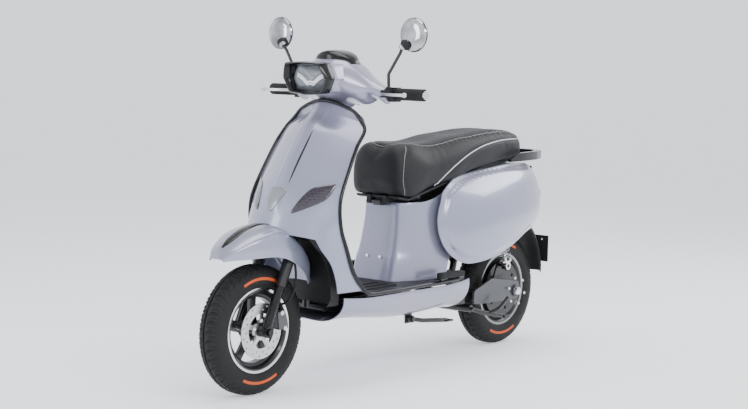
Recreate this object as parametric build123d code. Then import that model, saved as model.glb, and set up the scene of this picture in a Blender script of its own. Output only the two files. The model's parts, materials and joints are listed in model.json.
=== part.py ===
"""Electric moped scooter, built as separate bench parts.

Frame: +X is forward, +Y is the rider's left, +Z is up. The origin lies on the ground, in the
middle of the overall length and width. Every size is in millimetres.
"""

import math
import os

from build123d import *

# ---------------------------------------------------------------- driving dimensions
WHEELBASE = 1340.0
TYRE_R = 216.0            # 3.50-10 scooter tyre
TYRE_W = 86.0
TAIL_OVERHANG = 240.0     # rear axle to the rearmost edge of the plate
CASTER = 25.0             # degrees, steering axis from the vertical
FORK_OFFSET = 25.0        # fork legs ahead of the steering axis
BAR_HALF_WIDTH = 355.0    # to the end of each grip
BAR_Z = 988.0             # height of the grip axis
BAR_X_BACK = 58.0         # grip axis behind the steering axis at bar height
SHIELD_TOP_Z = 957.0
FLOOR_Z = 322.0
FLOOR_HALF_WIDTH = 205.0
PANEL_T = 3.0             # wall of the moulded panels

FRONT_AXLE_X = (WHEELBASE + TAIL_OVERHANG - TYRE_R) / 2   # centres the overall length on x = 0
REAR_AXLE_X = FRONT_AXLE_X - WHEELBASE
REAR_END_X = REAR_AXLE_X - TAIL_OVERHANG

# wheels
BEAD_R = 126.6            # bead seat of a 10 inch rim
FLANGE_R = 139.6
RIM_HALF_W = 33.0
RIM_WALL = 5.0
CROWN_FLAT = 13.0         # half width of the flat contact band of the tread
TYRE_WALL = 7.0
HUB_R = 27.0
HUB_HALF_W = 34.0
AXLE_R = 6.0
RUNNING = 0.05            # radial clearance of a shaft in its bearing
BEARING_R = 17.5
BEARING_W = 11.0
SPOKES = 5
DISC_R = 92.0
DISC_T = 3.6
DISC_CARRIER_R = 58.0
DISC_HOLES = 30

# fork
LEG_Y = 64.0
STANCHION_R = 13.0
SLIDER_R = 16.0
SHROUD_R = 19.0
SHROUD_WALL = 1.8
FORK_TRAVEL = 50.0
SLIDER_TOP_S = 165.0      # along the leg, from the axle
CROWN_S = 292.0
CROWN_T = 14.0
STEM_R = 13.0
HEAD_TUBE_R = 26.0
HEAD_TUBE_WALL = 4.0
HEAD_HIGH_Z = 760.0
HEAD_BEARING_H = 12.0

# bar and controls
BAR_R = 11.0
GRIP_R = 16.5
GRIP_LEN = 122.0
LEVER_TIP_X = 84.0        # ahead of the grip axis
LEVER_TIP_Y = 322.0
LEVER_T = 9.0
MIRROR_R = 56.0
MIRROR_Y = 304.0

# rear
SWING_PIVOT_X = -330.0
SWING_PIVOT_Z = 216.0
SWING_Y = 60.0
SWING_TUBE_R = 12.0
MOTOR_R = 104.0
MOTOR_HALF_W = 36.0
REAR_AXLE_R = 7.0
SHOCK_Y = 96.0

CLEAR = 1.0               # gap between neighbouring panels


# leg shield, its well and its trim
# rows of: height, centre x, then (x, y) outwards; x is counted from the front axle
APRON_ROWS = [
    (SHIELD_TOP_Z, -327, (-337, 90), (-360, 172)),
    (878, -257, (-287, 90), (-347, 172)),
    (816, -214, (-245, 95), (-300, 179)),
    (746, -165, (-199, 100), (-256, 186)),
    (663, -113, (-146, 105), (-212, 193)),
    (573, -70, (-110, 118), (-194, 205)),
    (483, -45, (-100, 140), (-226, 205)),
    (399, -45, (-120, 158), (-264, 205)),
    (FLOOR_Z + 12, -45, (-140, 168), (-318, 205)),
]
INNER_ROWS = [
    (923, -400, (-382, 60), (-362, 120)),
    (878, -380, (-365, 70), (-352, 165)),
    (816, -352, (-330, 70), (-308, 172)),
    (746, -318, (-290, 70), (-263, 179)),
    (663, -281, (-252, 78), (-219, 186)),
    (573, -287, (-256, 90), (-201, 198)),
    (483, -292, (-275, 110), (-233, 198)),
    (399, -310, (-300, 130), (-271, 198)),
    (346, -332, (-326, 140), (-316, 198)),
    (FLOOR_Z + 1, -352, (-350, 140), (-348, 198)),
]
TOP_OUTLINE = [(0, 957), (58, 947), (126, 923), (172, 878)]
WELL_EDGE = [(-131, 515), (-147, 479), (-177, 436), (-194, 394), (-204, 353), (-205, 312),
             (-186, 288)]
WELL_BACK_X = -242.0
WELL_HALF_W = 160.0
WELL_ROOF_LIFT = 8.0
HEAD_LOW_Z = 528.0
TIE_HALF_W = 34.0
TIE_DEPTH = 22.0
STEM_LOW_Z = 472.0
STEM_HIGH_Z = 982.0
TRIM_R = 5.0
TRIM_OUT = 5.6            # trim centre outside the panel edges
TRIM_PATH = [(-334, 36, 962), (-347, 66, 953), (-352, 130, 929), (-349, 178, 880),
             (-300, 184.6, 816), (-256, 191.6, 745), (-211, 199, 663), (-200, 201, 632),
             (-194, 211, 573), (-226, 211, 483), (-264, 211, 399), (-309, 211, 346),
             (-353, 211, 316)]

# front fender
# rows of: angle round the wheel, radius on the centre line, half width, radius at the edge
FENDER_ROWS = [(56, 299, 30, 288), (68, 316, 68, 263), (80, 331, 90, 251), (92, 344, 97, 247),
               (102, 346, 98, 245), (112, 334, 98, 242), (122, 318, 94, 240), (134, 299, 80, 243),
               (148, 272, 54, 252)]
FENDER_SHOULDER = 0.80
FENDER_SCREW_S = 250.0     # along the fork leg
SCREW_R = 4.0
CREST_LIFT = 5.0

# front wheel and fork details
RIM_INNER_R = 108.0
SPOKE_START = 90.0
DISC_HUB_R = 30.0
DISC_Y = 44.0
LUG_R = 19.0
STANCHION_LOW_S = 90.0
CALIPER_X, CALIPER_Z = -80.0, 30.0
CALIPER_Y0, CALIPER_Y1 = 25.0, 65.0
SHROUD_LOW_S = SLIDER_TOP_S - 8
BAR_LOW_Z = 984.0

# headset, lamp, dial and controls
# rows of: side offset, rear x, front x (from the bar), low z, high z (from the bar)
HEADSET_ROWS = [(0, -36, 150, -62, 122), (30, -36, 150, -58, 120), (60, -34, 144, -42, 112),
                (92, -30, 126, -38, 90), (130, -26, 82, -31, 54), (165, -22, 52, -24, 33),
                (200, -19, 36, -19, 22)]
HEADSET_WALL = 3.0
NECK_R = 42.0
LAMP_CORNERS = [(0, 100), (74, 96), (94, 46), (72, 4), (0, -3), (-72, 4), (-94, 46), (-74, 96)]
LAMP_BACK_X = 116.0
LAMP_FACE_X = 152.0
DIAL_TOP_ROWS = [(0, -10, 111, 88, 145), (46, -6, 100, 86, 138), (83, 20, 72, 80, 108)]
POD_Y0, POD_Y1 = 201.0, 229.0
POD_R = 22.0
GRIP_Y0 = POD_Y1 + 1.0
BUTTON_TRAVEL = 3.0
PERCH_Y0, PERCH_Y1 = 203.0, 227.0
LEVER_PIVOT = (46.0, 214.0)
LEVER_PIN_R = 3.0
MIRROR_PIVOT = (7.0, 180.0)       # mirror centre from the bar, x and z
STEM_BASE = (26.0, 214.0, 24.6)
BALL_R = 9.0
BALL_PLACE = (30.0, -30.0, 158.0)  # x from the bar, y from the mirror's centre, z from the bar
SOCKET_R = 13.0
SOCKET_MOUTH = 4.0
MIRROR_NECK_R = 7.0

# frame and shock mounts
RAIL_R = 13.0
RAIL_Y = 82.0
RAIL_Z = 262.0
DOWN_TUBE_X = -267.0      # from the front axle
DOWN_TUBE_R = 17.0
TAIL_RAIL_Y = 74.0
PIVOT_R = 9.0
SHOCK_PIN_R = 6.0
SHOCK_TOP = (-540.0, 520.0)
SHOCK_LOW = (-598.0, 318.0)

# motor and shocks
MOTOR_WALL = 5.0
MOTOR_BORE_R = 16.0
STATOR_GAP = 1.0
REAR_BEARING_W = 9.0
MOTOR_HOLES_R = 80.0
STATOR_TEETH = 18
COVER_T = 9.0
SHOCK_BODY_R = 17.0
SHOCK_ROD_R = 6.0
SHOCK_PAD = 12.0
SHOCK_EYE_CLEAR = 1.2
SPRING_R = 21.0
SPRING_WIRE_R = 3.2
SPRING_TURNS = 7

# floor
FLOOR_T = 4.0
FLOOR_SIDE_Y = 199.0
FLOOR_FRONT_X = -348.0    # from the front axle
FLOOR_REAR_X = 528.0      # from the rear axle
PILLAR_FRONT_X = 742.0    # from the rear axle
PILLAR_HALF_W = 108.0
STRIP_Y = (62.0, 104.0, 146.0)
STRIP_W = 12.0
STRIP_H = 3.0

# rear bodywork, seat and stands
PILLAR_ROWS = [(582, 692, 685, 82, 500, 128), (540, 694, 686, 84, 500, 134),
               (482, 702, 694, 88, 500, 138), (391, 730, 716, 96, 520, 146),
               (FLOOR_Z + 1, 744, 730, 100, 530, 150)]
COWL_ROWS = [
    (572, [(141, 636), (158, 560), (160, 480), (152, 380)]),
    (458, [(138, 662), (190, 560), (202, 460), (178, 350)]),
    (258, [(134, 690), (196, 600), (214, 490), (186, 360)]),
    (58, [(122, 706), (176, 640), (190, 540), (160, 410)]),
    (-82, [(96, 700), (132, 640), (146, 560), (122, 450)]),
    (-150, [(64, 690), (98, 620), (106, 540), (92, 460)]),
]
COWL_OUTLINE = [(511, 640), (539, 602), (559, 542), (554, 496), (525, 434), (479, 389), (425, 366),
                (332, 371), (214, 389), (94, 422), (12, 460), (-146, 471), (-148, 506), (-129, 553),
                (-100, 610), (-60, 700), (214, 704), (400, 676)]
TAIL_X = -150.0             # from the rear axle
TAIL_LAMP = [(0, 548), (-60, 556), (-74, 572), (-70, 590), (0, 606)]
TAIL_HOUSING = [(57, 500), (59, 560), (57, 690)]     # half width and height
TAIL_HOUSING_T = 6.0
PLATE_W, PLATE_H, PLATE_T = 170.0, 104.0, 4.0
PLATE_HOLE_X, PLATE_HOLE_R = 110.0, 3.3
PLATE_Z = 305.0
SEAT_ROWS = [
    (736, 88, 640, 752), (716, 124, 614, 790), (678, 140, 606, 803), (600, 147, 628, 802),
    (500, 150, 652, 804), (386, 148, 676, 820), (240, 136, 700, 833), (100, 114, 712, 837),
    (0, 94, 716, 828), (-60, 70, 722, 812), (-84, 42, 736, 790),
]
SEAT_PAN_T = 8.0
SEAT_HINGE = (716.0, 598.0)       # x from the rear axle, and z
SEAT_HINGE_R = 4.0
BUCKET_WALL = 2.5
INDICATOR_T = 4.0
# rows of: z, then inner and outer (x, y), x from the front axle
INDICATOR_ROWS = [(606, [(-92, 84), (-99, 96), (-110, 108)]),
                  (646, [(-128, 104), (-146, 130), (-168, 158)]),
                  (680, [(-156, 112), (-172, 140), (-192, 168)])]
SCREW_X, SCREW_Y, SCREW_Z = 732.0, 30.0, 405.0      # x from the rear axle
SCREW_HEAD_T = 3.0
PEG_HINGE = (614.0, 200.0, 336.0)
PEG_LEN, PEG_W, PEG_T = 118.0, 30.0, 18.0
PEG_PIN_R = 5.0
STAND_PIVOT = (651.0, 112.0, 183.0)    # x from the rear axle
STAND_LEN = 196.0
STAND_R = 8.0
STAND_BOLT_R = 5.0
CENTRE_STAND_PIVOT = (280.0, 176.0)
CENTRE_STAND_LEN = 186.0
CENTRE_PIN_R = 6.0
KEY_PLACE = (-392.0, -96.0, 812.0)


# ---------------------------------------------------------------- small helpers
def rod_y(x, z, y0, y1, r):
    """A cylinder along Y from y0 to y1."""
    plane = Plane(origin=(x, min(y0, y1), z), x_dir=(1, 0, 0), z_dir=(0, 1, 0))
    return plane * Cylinder(r, abs(y1 - y0), align=(Align.CENTER, Align.CENTER, Align.MIN))


def rod(a, b, r):
    """A cylinder from point a to point b."""
    a, b = Vector(*a), Vector(*b)
    plane = Plane(origin=a, z_dir=b - a)
    return plane * Cylinder(r, (b - a).length, align=(Align.CENTER, Align.CENTER, Align.MIN))


def pipe(points, r, bend):
    """A round bar along points, with every corner rounded to the radius bend."""
    path = FilletPolyline(*points, radius=bend)
    start = Vector(*points[0])
    profile = Plane(origin=start, z_dir=Vector(*points[1]) - start) * Circle(r)
    return sweep(profile, path=path)


def slab(x0, x1, y0, y1, z0, z1):
    """A box from its limits."""
    return Pos((x0 + x1) / 2, (y0 + y1) / 2, (z0 + z1) / 2) * Box(x1 - x0, y1 - y0, z1 - z0)


def turned(points, x, z):
    """A solid turned about the Y axis through x, z. Each point is (radius, y)."""
    wire = Polyline(*[(r, y) for r, y in points], close=True)
    profile = Plane.XY * make_face(wire)
    return Pos(x, 0, z) * revolve(profile, axis=Axis.Y)


def side_prism(points, y0, y1):
    """A prism along Y over an outline in x, z."""
    face = make_face(Polyline(*[(x, y0, z) for x, z in points], close=True))
    return extrude(face, amount=y1 - y0, dir=(0, 1, 0))


def plan_prism(points, z0, z1):
    """A prism along Z over an outline in x, y."""
    face = make_face(Polyline(*[(x, y, z0) for x, y in points], close=True))
    return extrude(face, amount=z1 - z0, dir=(0, 0, 1))


def mirror_y(shape):
    """The same shape on the other side of the centre plane."""
    return mirror(shape, about=Plane.XZ)


def both_sides(shape):
    """A shape and its mirror image, as one group."""
    return Compound(children=[*shape.solids(), *mirror_y(shape).solids()])


def group(*shapes):
    """Several separate solids as one node."""
    return Compound(children=[s for shape in shapes for s in shape.solids()])


def band(outer, inner):
    """A closed thin section between two open lines of points."""
    a, b = Spline(*outer), Spline(*inner)
    return Wire([*a.edges(), Line(a @ 1, b @ 1).edge(), *b.edges(), Line(b @ 0, a @ 0).edge()])


def steering_x(z):
    """x of the steering axis at height z."""
    return STEER_X + (STEER_Z - z) * math.tan(math.radians(CASTER))


SIN_C, COS_C = math.sin(math.radians(CASTER)), math.cos(math.radians(CASTER))
STEER_X = FRONT_AXLE_X - FORK_OFFSET * COS_C      # a point on the steering axis
STEER_Z = TYRE_R - FORK_OFFSET * SIN_C
BAR_X = steering_x(BAR_Z) - BAR_X_BACK


def leg_point(s, y=0.0, ahead=0.0):
    """A point s along the fork leg from the axle, and ahead of it."""
    return (FRONT_AXLE_X - s * SIN_C + ahead * COS_C, y, TYRE_R + s * COS_C + ahead * SIN_C)


# ---------------------------------------------------------------- panels made of thin sections
def offset_line(points, distance):
    """The line of 2-D points moved sideways, to the right of its direction."""
    moved = []
    for i, (u, v) in enumerate(points):
        before, after = points[max(i - 1, 0)], points[min(i + 1, len(points) - 1)]
        du, dv = after[0] - before[0], after[1] - before[1]
        length = math.hypot(du, dv)
        moved.append((u + distance * dv / length, v - distance * du / length))
    return moved


def panel(stations, wall=PANEL_T):
    """A thin panel lofted through stations. Each station is (place, points): place turns a 2-D
    point into a 3-D one, and the wall lies to the right of the line of points."""
    wires = []
    for place, points in stations:
        inner = offset_line(points, wall)
        wires.append(band([place(*p) for p in points], [place(*p) for p in inner]))
    return Solid.make_loft(wires)


def at_z(z):
    return lambda x, y: (x, y, z)


def at_x(x):
    return lambda y, z: (x, y, z)


def radial(cx, cz, angle):
    """Places (y, radius) in the half plane that leaves the wheel's axis at an angle, degrees."""
    c, s = math.cos(math.radians(angle)), math.sin(math.radians(angle))
    return lambda y, r: (cx + r * c, y, cz + r * s)


def full_width(centre, half):
    """A symmetric line from the left to the right. half lists (x, y) from the centre out."""
    right = [(x, -y) for x, y in half]
    left = [(x, y) for x, y in reversed(half)]
    return left + [(centre, 0)] + right


F, R = FRONT_AXLE_X, REAR_AXLE_X       # panels are placed from the nearer axle


def above_shield():
    """The space above the rounded top of the leg shield."""
    half, far = TOP_OUTLINE, SHIELD_TOP_Z + 60
    outline = [(-260, far), (-260, half[-1][1]), *[(-y, z) for y, z in reversed(half[1:])],
               *half, (260, half[-1][1]), (260, far)]
    face = make_face(Polyline(*[(F - 600, y, z) for y, z in outline], close=True))
    return extrude(face, amount=600, dir=(1, 0, 0))


def roof_z(x, lift=0.0):
    """Height of the plane over the front wheel, square to the steering axis."""
    slope = math.tan(math.radians(CASTER))
    return HEAD_LOW_Z - WELL_ROOF_LIFT + lift + (x - steering_x(HEAD_LOW_Z)) * slope


def wheel_space():
    """Everything in front of the wheel arch's edge and under the roof plane."""
    ends = [F + 60, F - 126]
    outline = [(F + 60, 250)] + [(x, roof_z(x, PANEL_T)) for x in ends]
    outline += [(F + x, z) for x, z in WELL_EDGE] + [(F - 186, 250)]
    return side_prism(outline, -260, 260)


def rows_to_stations(rows, anchor):
    return [(at_z(z), full_width(anchor + cx, [(anchor + x, y) for x, y in half]))
            for z, cx, *half in rows]


def front_apron():
    shell = panel(rows_to_stations(APRON_ROWS, F), PANEL_T)
    tie = [(SHIELD_TOP_Z - 22, -302), (866, -244), (780, -184), (695, -125)]
    rib = panel([(at_z(z), [(F + x + 9, TIE_HALF_W), (F + x + 14, 0), (F + x + 9, -TIE_HALF_W)])
                 for z, x in tie], TIE_DEPTH)
    return shell - above_shield() - wheel_space(), rib


def inner_apron():
    return panel(rows_to_stations(INNER_ROWS, F)) - rod(*stem_ends(), HEAD_TUBE_R + CLEAR)


def stem_ends():
    """The two ends of the steering stem's axis."""
    return (steering_x(STEM_LOW_Z), 0, STEM_LOW_Z), (steering_x(STEM_HIGH_Z), 0, STEM_HIGH_Z)


def edge_trim():
    """A round rubber trim along the shield's edge and the side of the floor."""
    rear = [(R + 480, FLOOR_HALF_WIDTH + TRIM_OUT, FLOOR_Z + 4)]
    points = [(F + x, y, z) for x, y, z in TRIM_PATH] + rear
    half = pipe([(F - 329, 0, 963)] + points, TRIM_R, 12.0)
    return [half, mirror_y(half)]


def wheel_arch_liner():
    """The black well behind the front wheel, with a roof square to the steering axis."""
    def well(wall, front, low):
        back = F + WELL_BACK_X - wall
        outline = [(back, low), (back, roof_z(back, wall)), (front, roof_z(front, wall)),
                   (front, low)]
        half = WELL_HALF_W + wall
        plan = [(F - 260, half), (F - 152, half), (F - 126, half - 44), (F + 70, half - 100)]
        plan += [(x, -y) for x, y in reversed(plan)]
        return side_prism(outline, -half, half) & plan_prism(plan, 200, 700)
    shell = well(PANEL_T, F - 74, 288) - well(0, F + 60, 220)
    return shell - wheel_space() - rod(*stem_ends(), HEAD_TUBE_R + CLEAR)


# ---------------------------------------------------------------- front fender


def fender_stations(lift=0.0, half=None, rows=FENDER_ROWS):
    stations = []
    for angle, top, width, edge in rows:
        w = half or width
        shoulder = edge + (top - edge) * FENDER_SHOULDER
        line = [(-w, edge), (-w * 0.88, shoulder), (0, top), (w * 0.88, shoulder), (w, edge)]
        if half:
            line = [(-w, top + lift - 1.5), (0, top + lift), (w, top + lift - 1.5)]
        stations.append((radial(F, TYRE_R, angle), line))
    return stations


def front_fender():
    shell = panel(fender_stations())
    stem_hole = rod(*stem_ends(), STEM_R + 12)
    screw_hole = rod_y(*leg_point(FENDER_SCREW_S)[::2], -120, 120, SCREW_R + 0.2)
    return shell - stem_hole - screw_hole


def fender_crest():
    """The narrow gloss strip along the top of the fender."""
    return panel(fender_stations(CREST_LIFT, 17.0, FENDER_ROWS[2:6]), 2.0)


# ---------------------------------------------------------------- front wheel and fork
def tyre(x, z):
    """A hollow tyre with a flat band where it stands."""
    shoulder = TYRE_W / 2
    outside = [(TYRE_R, -CROWN_FLAT), (TYRE_R, CROWN_FLAT), (TYRE_R - 5, CROWN_FLAT + 14),
               (TYRE_R - 18, shoulder - 6), (TYRE_R - 34, shoulder), (TYRE_R - 52, shoulder - 1),
               (TYRE_R - 70, shoulder - 6), (FLANGE_R + 1, RIM_HALF_W - 1),
               (FLANGE_R + 0.5, RIM_HALF_W - RIM_WALL - 0.1), (BEAD_R, RIM_HALF_W - RIM_WALL - 0.1)]
    bead = [(BEAD_R, RIM_HALF_W - RIM_WALL - 11),
            (BEAD_R + 8, RIM_HALF_W - RIM_WALL - 9)]
    wall = TYRE_WALL
    inside = [(TYRE_R - 72, shoulder - 7 - wall), (TYRE_R - 52, shoulder - 1 - wall),
              (TYRE_R - 34, shoulder - wall), (TYRE_R - 20, shoulder - 8 - wall),
              (TYRE_R - 10, CROWN_FLAT + 6)]
    right = outside[1:] + bead + inside
    left = [(r, -y) for r, y in reversed(right)]
    return turned(right + left, x, z)


def rim_points(hub_side):
    """Half of the rim's section, from the flange to the well."""
    w, t = RIM_HALF_W, RIM_WALL
    return [(FLANGE_R, w - t), (FLANGE_R, w), (FLANGE_R - 12, w), (BEAD_R - 5, w - 6),
            (BEAD_R - 7, w - 16), (hub_side, 13)]


def rim(x, z, well_r):
    w, t = RIM_HALF_W, RIM_WALL
    seat = [(BEAD_R, w - t), (BEAD_R, w - t - 12), (BEAD_R - 8, w - t - 15)]
    right = list(reversed(rim_points(well_r))) + seat
    left = [(r, -y) for r, y in reversed(right)]
    return turned(right + left, x, z)


def front_wheel_rim():
    body = rim(F, TYRE_R, RIM_INNER_R)
    hub = [(BEARING_R, -HUB_HALF_W), (BEARING_R, HUB_HALF_W), (HUB_R + 3, HUB_HALF_W),
           (HUB_R, HUB_HALF_W - 8), (HUB_R, -HUB_HALF_W + 8), (HUB_R + 3, -HUB_HALF_W)]
    hub = turned(hub, F, TYRE_R)
    spokes = [spoke(i * 360 / SPOKES + SPOKE_START) for i in range(SPOKES)]
    return body + hub + spokes


def spoke(angle):
    """A flat tapered arm from the hub to the rim."""
    def station(r, width, depth):
        c, s = math.cos(math.radians(angle)), math.sin(math.radians(angle))
        centre = (F + r * c, 0, TYRE_R + r * s)
        plane = Plane(origin=centre, x_dir=(0, 1, 0), z_dir=(c, 0, s))
        return plane * RectangleRounded(depth, width, 4)
    return loft([station(HUB_R - 3, 34, 24), station(70, 24, 20), station(RIM_INNER_R + 3, 30, 16)])


def bearing_pair(x, z, half_w, shaft_r, ring_r):
    ring = rod_y(x, z, half_w - BEARING_W, half_w, ring_r)
    ring -= rod_y(x, z, half_w - BEARING_W - 1, half_w + 1, shaft_r + RUNNING)
    return group(ring, mirror_y(ring))


def front_wheel_bearings():
    return bearing_pair(F, TYRE_R, HUB_HALF_W, AXLE_R, BEARING_R)


def brake_disc():
    y0, y1 = DISC_Y - DISC_T / 2, DISC_Y + DISC_T / 2
    disc = rod_y(F, TYRE_R, y0, y1, DISC_R) - rod_y(F, TYRE_R, y0 - 1, y1 + 1, DISC_CARRIER_R)
    hub = rod_y(F, TYRE_R, HUB_HALF_W, y1, DISC_HUB_R) - rod_y(F, TYRE_R, 0, 60, BEARING_R + 1)
    for i in range(SPOKES):
        a = math.radians(i * 360 / SPOKES + 20)
        c, s = math.cos(a), math.sin(a)
        start = (F + (DISC_HUB_R - 3) * c, TYRE_R + (DISC_HUB_R - 3) * s)
        end = (F + (DISC_CARRIER_R + 4) * c, TYRE_R + (DISC_CARRIER_R + 4) * s)
        side = (-8 * s, 8 * c)
        arm = side_prism([(start[0] + side[0], start[1] + side[1]),
                          (end[0] + side[0], end[1] + side[1]),
                          (end[0] - side[0], end[1] - side[1]),
                          (start[0] - side[0], start[1] - side[1])], y0, y1)
        hub += arm
    disc += hub
    for i in range(DISC_HOLES):
        a = math.radians(i * 360 / DISC_HOLES)
        r = DISC_R - (9 if i % 2 else 22)
        disc -= rod_y(F + r * math.cos(a), TYRE_R + r * math.sin(a), y0 - 1, y1 + 1, 3)
    return disc


def front_axle():
    end = LEG_Y + SLIDER_R + 6
    nuts = [rod_y(F, TYRE_R, s * (LEG_Y + LUG_R), s * (end + 4), 11) for s in (1, -1)]
    shaft = rod_y(F, TYRE_R, -end, end, AXLE_R)
    return shaft + nuts


def fork_sliders():
    """The lower fork legs, bored for the stanchions and the axle."""
    lug = rod_y(F, TYRE_R, LEG_Y - SLIDER_R, LEG_Y + LUG_R, LUG_R)
    leg = lug + rod(leg_point(0, LEG_Y), leg_point(SLIDER_TOP_S, LEG_Y), SLIDER_R)
    leg -= rod(leg_point(STANCHION_LOW_S - FORK_TRAVEL - 6, LEG_Y),
               leg_point(SLIDER_TOP_S + 5, LEG_Y), STANCHION_R + RUNNING)
    leg -= rod_y(F, TYRE_R, 0, 200, AXLE_R)
    x, z = F + CALIPER_X, TYRE_R + CALIPER_Z
    bracket = side_prism([(x + 10, z - 22), (F - 6, z - 26), (F - 22, z + 22), (x + 10, z + 18)],
                         LEG_Y - 9, LEG_Y - 1)
    bracket -= side_prism(caliper_outline(3), 0, 100)
    left = leg + bracket
    left -= rod(leg_point(STANCHION_LOW_S - FORK_TRAVEL - 6, LEG_Y),
                leg_point(SLIDER_TOP_S + 5, LEG_Y), STANCHION_R + RUNNING)
    return group(left, mirror_y(leg))


def caliper_outline(grow):
    """Side outline of the caliper, tangent to the disc behind the fork leg."""
    x, z = F + CALIPER_X, TYRE_R + CALIPER_Z
    return [(x - 14 - grow, z - 30), (x + 15, z - 32), (x + 24, z + 26), (x - 3 - grow, z + 30)]


def brake_caliper():
    """Two halves on either side of the disc, joined by a bridge over its edge."""
    outer, inner = DISC_Y + DISC_T / 2 + 1.2, DISC_Y - DISC_T / 2 - 1.2
    half_out = side_prism(caliper_outline(3), outer, CALIPER_Y1)
    half_in = side_prism(caliper_outline(3), CALIPER_Y0, inner)
    ring = rod_y(F, TYRE_R, CALIPER_Y0, CALIPER_Y1, RIM_INNER_R - 2)
    ring -= rod_y(F, TYRE_R, 0, 100, DISC_R + 1.5)
    bridge = ring & side_prism(caliper_outline(40), 0, 100)
    return half_out + half_in + bridge


def steering_stem():
    """Stem, crown, stanchions and their dust shrouds, as one welded piece."""
    low, high = stem_ends()
    stem = rod(low, high, STEM_R)
    crown_c = leg_point(CROWN_S, 0, -FORK_OFFSET / 2)
    along = Vector(*leg_point(1)) - Vector(*leg_point(0))
    plane = Plane(origin=crown_c, x_dir=(0, 1, 0), z_dir=along)
    half, ahead, behind = LEG_Y + 18, FORK_OFFSET / 2 + 20, FORK_OFFSET / 2 + 21
    plan = [(half, -ahead), (half, -6), (46, behind)]
    plan += [(-u, v) for u, v in reversed(plan)]
    crown = plane * extrude(make_face(Polyline(*[(u, v, 0) for u, v in plan], close=True)), CROWN_T)
    parts = [stem, crown]
    for y in (LEG_Y, -LEG_Y):
        parts.append(rod(leg_point(STANCHION_LOW_S, y), leg_point(CROWN_S + 4, y), STANCHION_R))
        shroud = rod(leg_point(SHROUD_LOW_S, y), leg_point(CROWN_S + 4, y), SHROUD_R)
        shroud -= rod(leg_point(SHROUD_LOW_S - 4, y), leg_point(CROWN_S, y), SHROUD_R - SHROUD_WALL)
        parts.append(shroud)
    clamp = slab(high[0] - 16, high[0] + 16, -34, 34, BAR_LOW_Z - 15, BAR_LOW_Z + 14)
    body = parts[0]
    for p in parts[1:]:
        body += p
    body += clamp
    return body - rod_y(high[0], BAR_LOW_Z, -60, 60, BAR_R)


def head_bearings():
    rings = []
    for z in (HEAD_LOW_Z + HEAD_BEARING_H / 2, HEAD_HIGH_Z - HEAD_BEARING_H / 2):
        centre = Vector(steering_x(z), 0, z)
        axis = Vector(-SIN_C, 0, COS_C)
        half = axis * (HEAD_BEARING_H / 2)
        ring = rod(centre - half, centre + half, HEAD_TUBE_R - HEAD_TUBE_WALL)
        ring -= rod(centre - half * 2, centre + half * 2, STEM_R + RUNNING)
        rings.append(ring)
    return group(*rings)


def handlebar():
    low = (stem_ends()[1][0], BAR_LOW_Z)
    half = [(BAR_X, BAR_HALF_WIDTH - 4, BAR_Z), (BAR_X, 165, BAR_Z), (low[0], 62, low[1])]
    points = half + [(x, -y, z) for x, y, z in reversed(half)]
    return pipe(points, BAR_R, 40)


# ---------------------------------------------------------------- headset and controls


def headset_section(row, grow=0.0):
    """A rounded four-sided outline in a plane square to the bar."""
    y, back, front, low, high = row
    x0, x1, z0, z1 = back + grow, front - grow, low + grow, high - grow
    w, h = x1 - x0, z1 - z0
    return [(x0, z0 + 0.35 * h), (x0 + 0.10 * w, z0 + 0.90 * h), (x0 + 0.45 * w, z1),
            (x0 + 0.86 * w, z0 + 0.90 * h), (x1, z0 + 0.55 * h), (x0 + 0.86 * w, z0 + 0.30 * h),
            (x0 + 0.56 * w, z0 + 0.08 * h), (x0 + 0.30 * w, z0)]


def headset_solid(grow):
    rows = [(-row[0], *row[1:]) for row in reversed(HEADSET_ROWS[1:])] + HEADSET_ROWS
    wires = []
    for row in rows:
        pts = [(BAR_X + x, row[0], BAR_Z + z) for x, z in headset_section(row, grow)]
        wires.append(Wire([Spline(*pts, periodic=True).edge()]))
    return Solid.make_loft(wires)


def headset_cover():
    """The shell over the bar, open for the lamp, the dial, the bar and the neck."""
    shell = headset_solid(0) - headset_solid(HEADSET_WALL)
    end = HEADSET_ROWS[-1][0]
    shell -= rod_y(BAR_X, BAR_Z, -end - 20, end + 20, BAR_R + 1.5)
    shell -= lamp_outline(1.0, -40, 200)
    shell -= dial_prism(1.0)
    low, high = stem_ends()
    shell -= rod(low, (high[0] - 30 * SIN_C, 0, high[2] + 30 * COS_C), NECK_R)
    return shell.solids().sort_by(SortBy.VOLUME)[-1]


def lamp_outline(grow, x0, x1):
    """A prism along X over the lamp's six-sided outline."""
    k = 1 + grow / 80
    face = make_face(Polyline(*[(BAR_X + x0, y * k, BAR_Z + 50 + (z - 50) * k)
                                for y, z in LAMP_CORNERS], close=True))
    return extrude(face, amount=x1 - x0, dir=(1, 0, 0))


def lamp_visor_cut():
    """Slopes the front of the lamp back towards its chin."""
    return side_prism([(BAR_X + 222, BAR_Z + 112), (BAR_X + 218, BAR_Z + 92),
                       (BAR_X + 160, BAR_Z + 30), (BAR_X + 146, BAR_Z - 30),
                       (BAR_X + 320, BAR_Z - 30), (BAR_X + 320, BAR_Z + 112)], -130, 130)


def headlight_housing():
    """The six-sided lamp body with a visor over its lens."""
    outer = lamp_outline(0, LAMP_BACK_X, 226)
    inner = lamp_outline(-9, LAMP_BACK_X + 4, 240)
    body = outer - inner - lamp_visor_cut()
    side = plan_prism([(BAR_X + 160, 110), (BAR_X + 160, 96), (BAR_X + 228, 58),
                       (BAR_X + 240, 110)], BAR_Z - 20, BAR_Z + 130)
    return body - side - mirror_y(side)


def headlight_lens():
    """A clear plate set back inside the housing."""
    return lamp_outline(-10, LAMP_FACE_X - 10, LAMP_FACE_X - 6)


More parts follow.
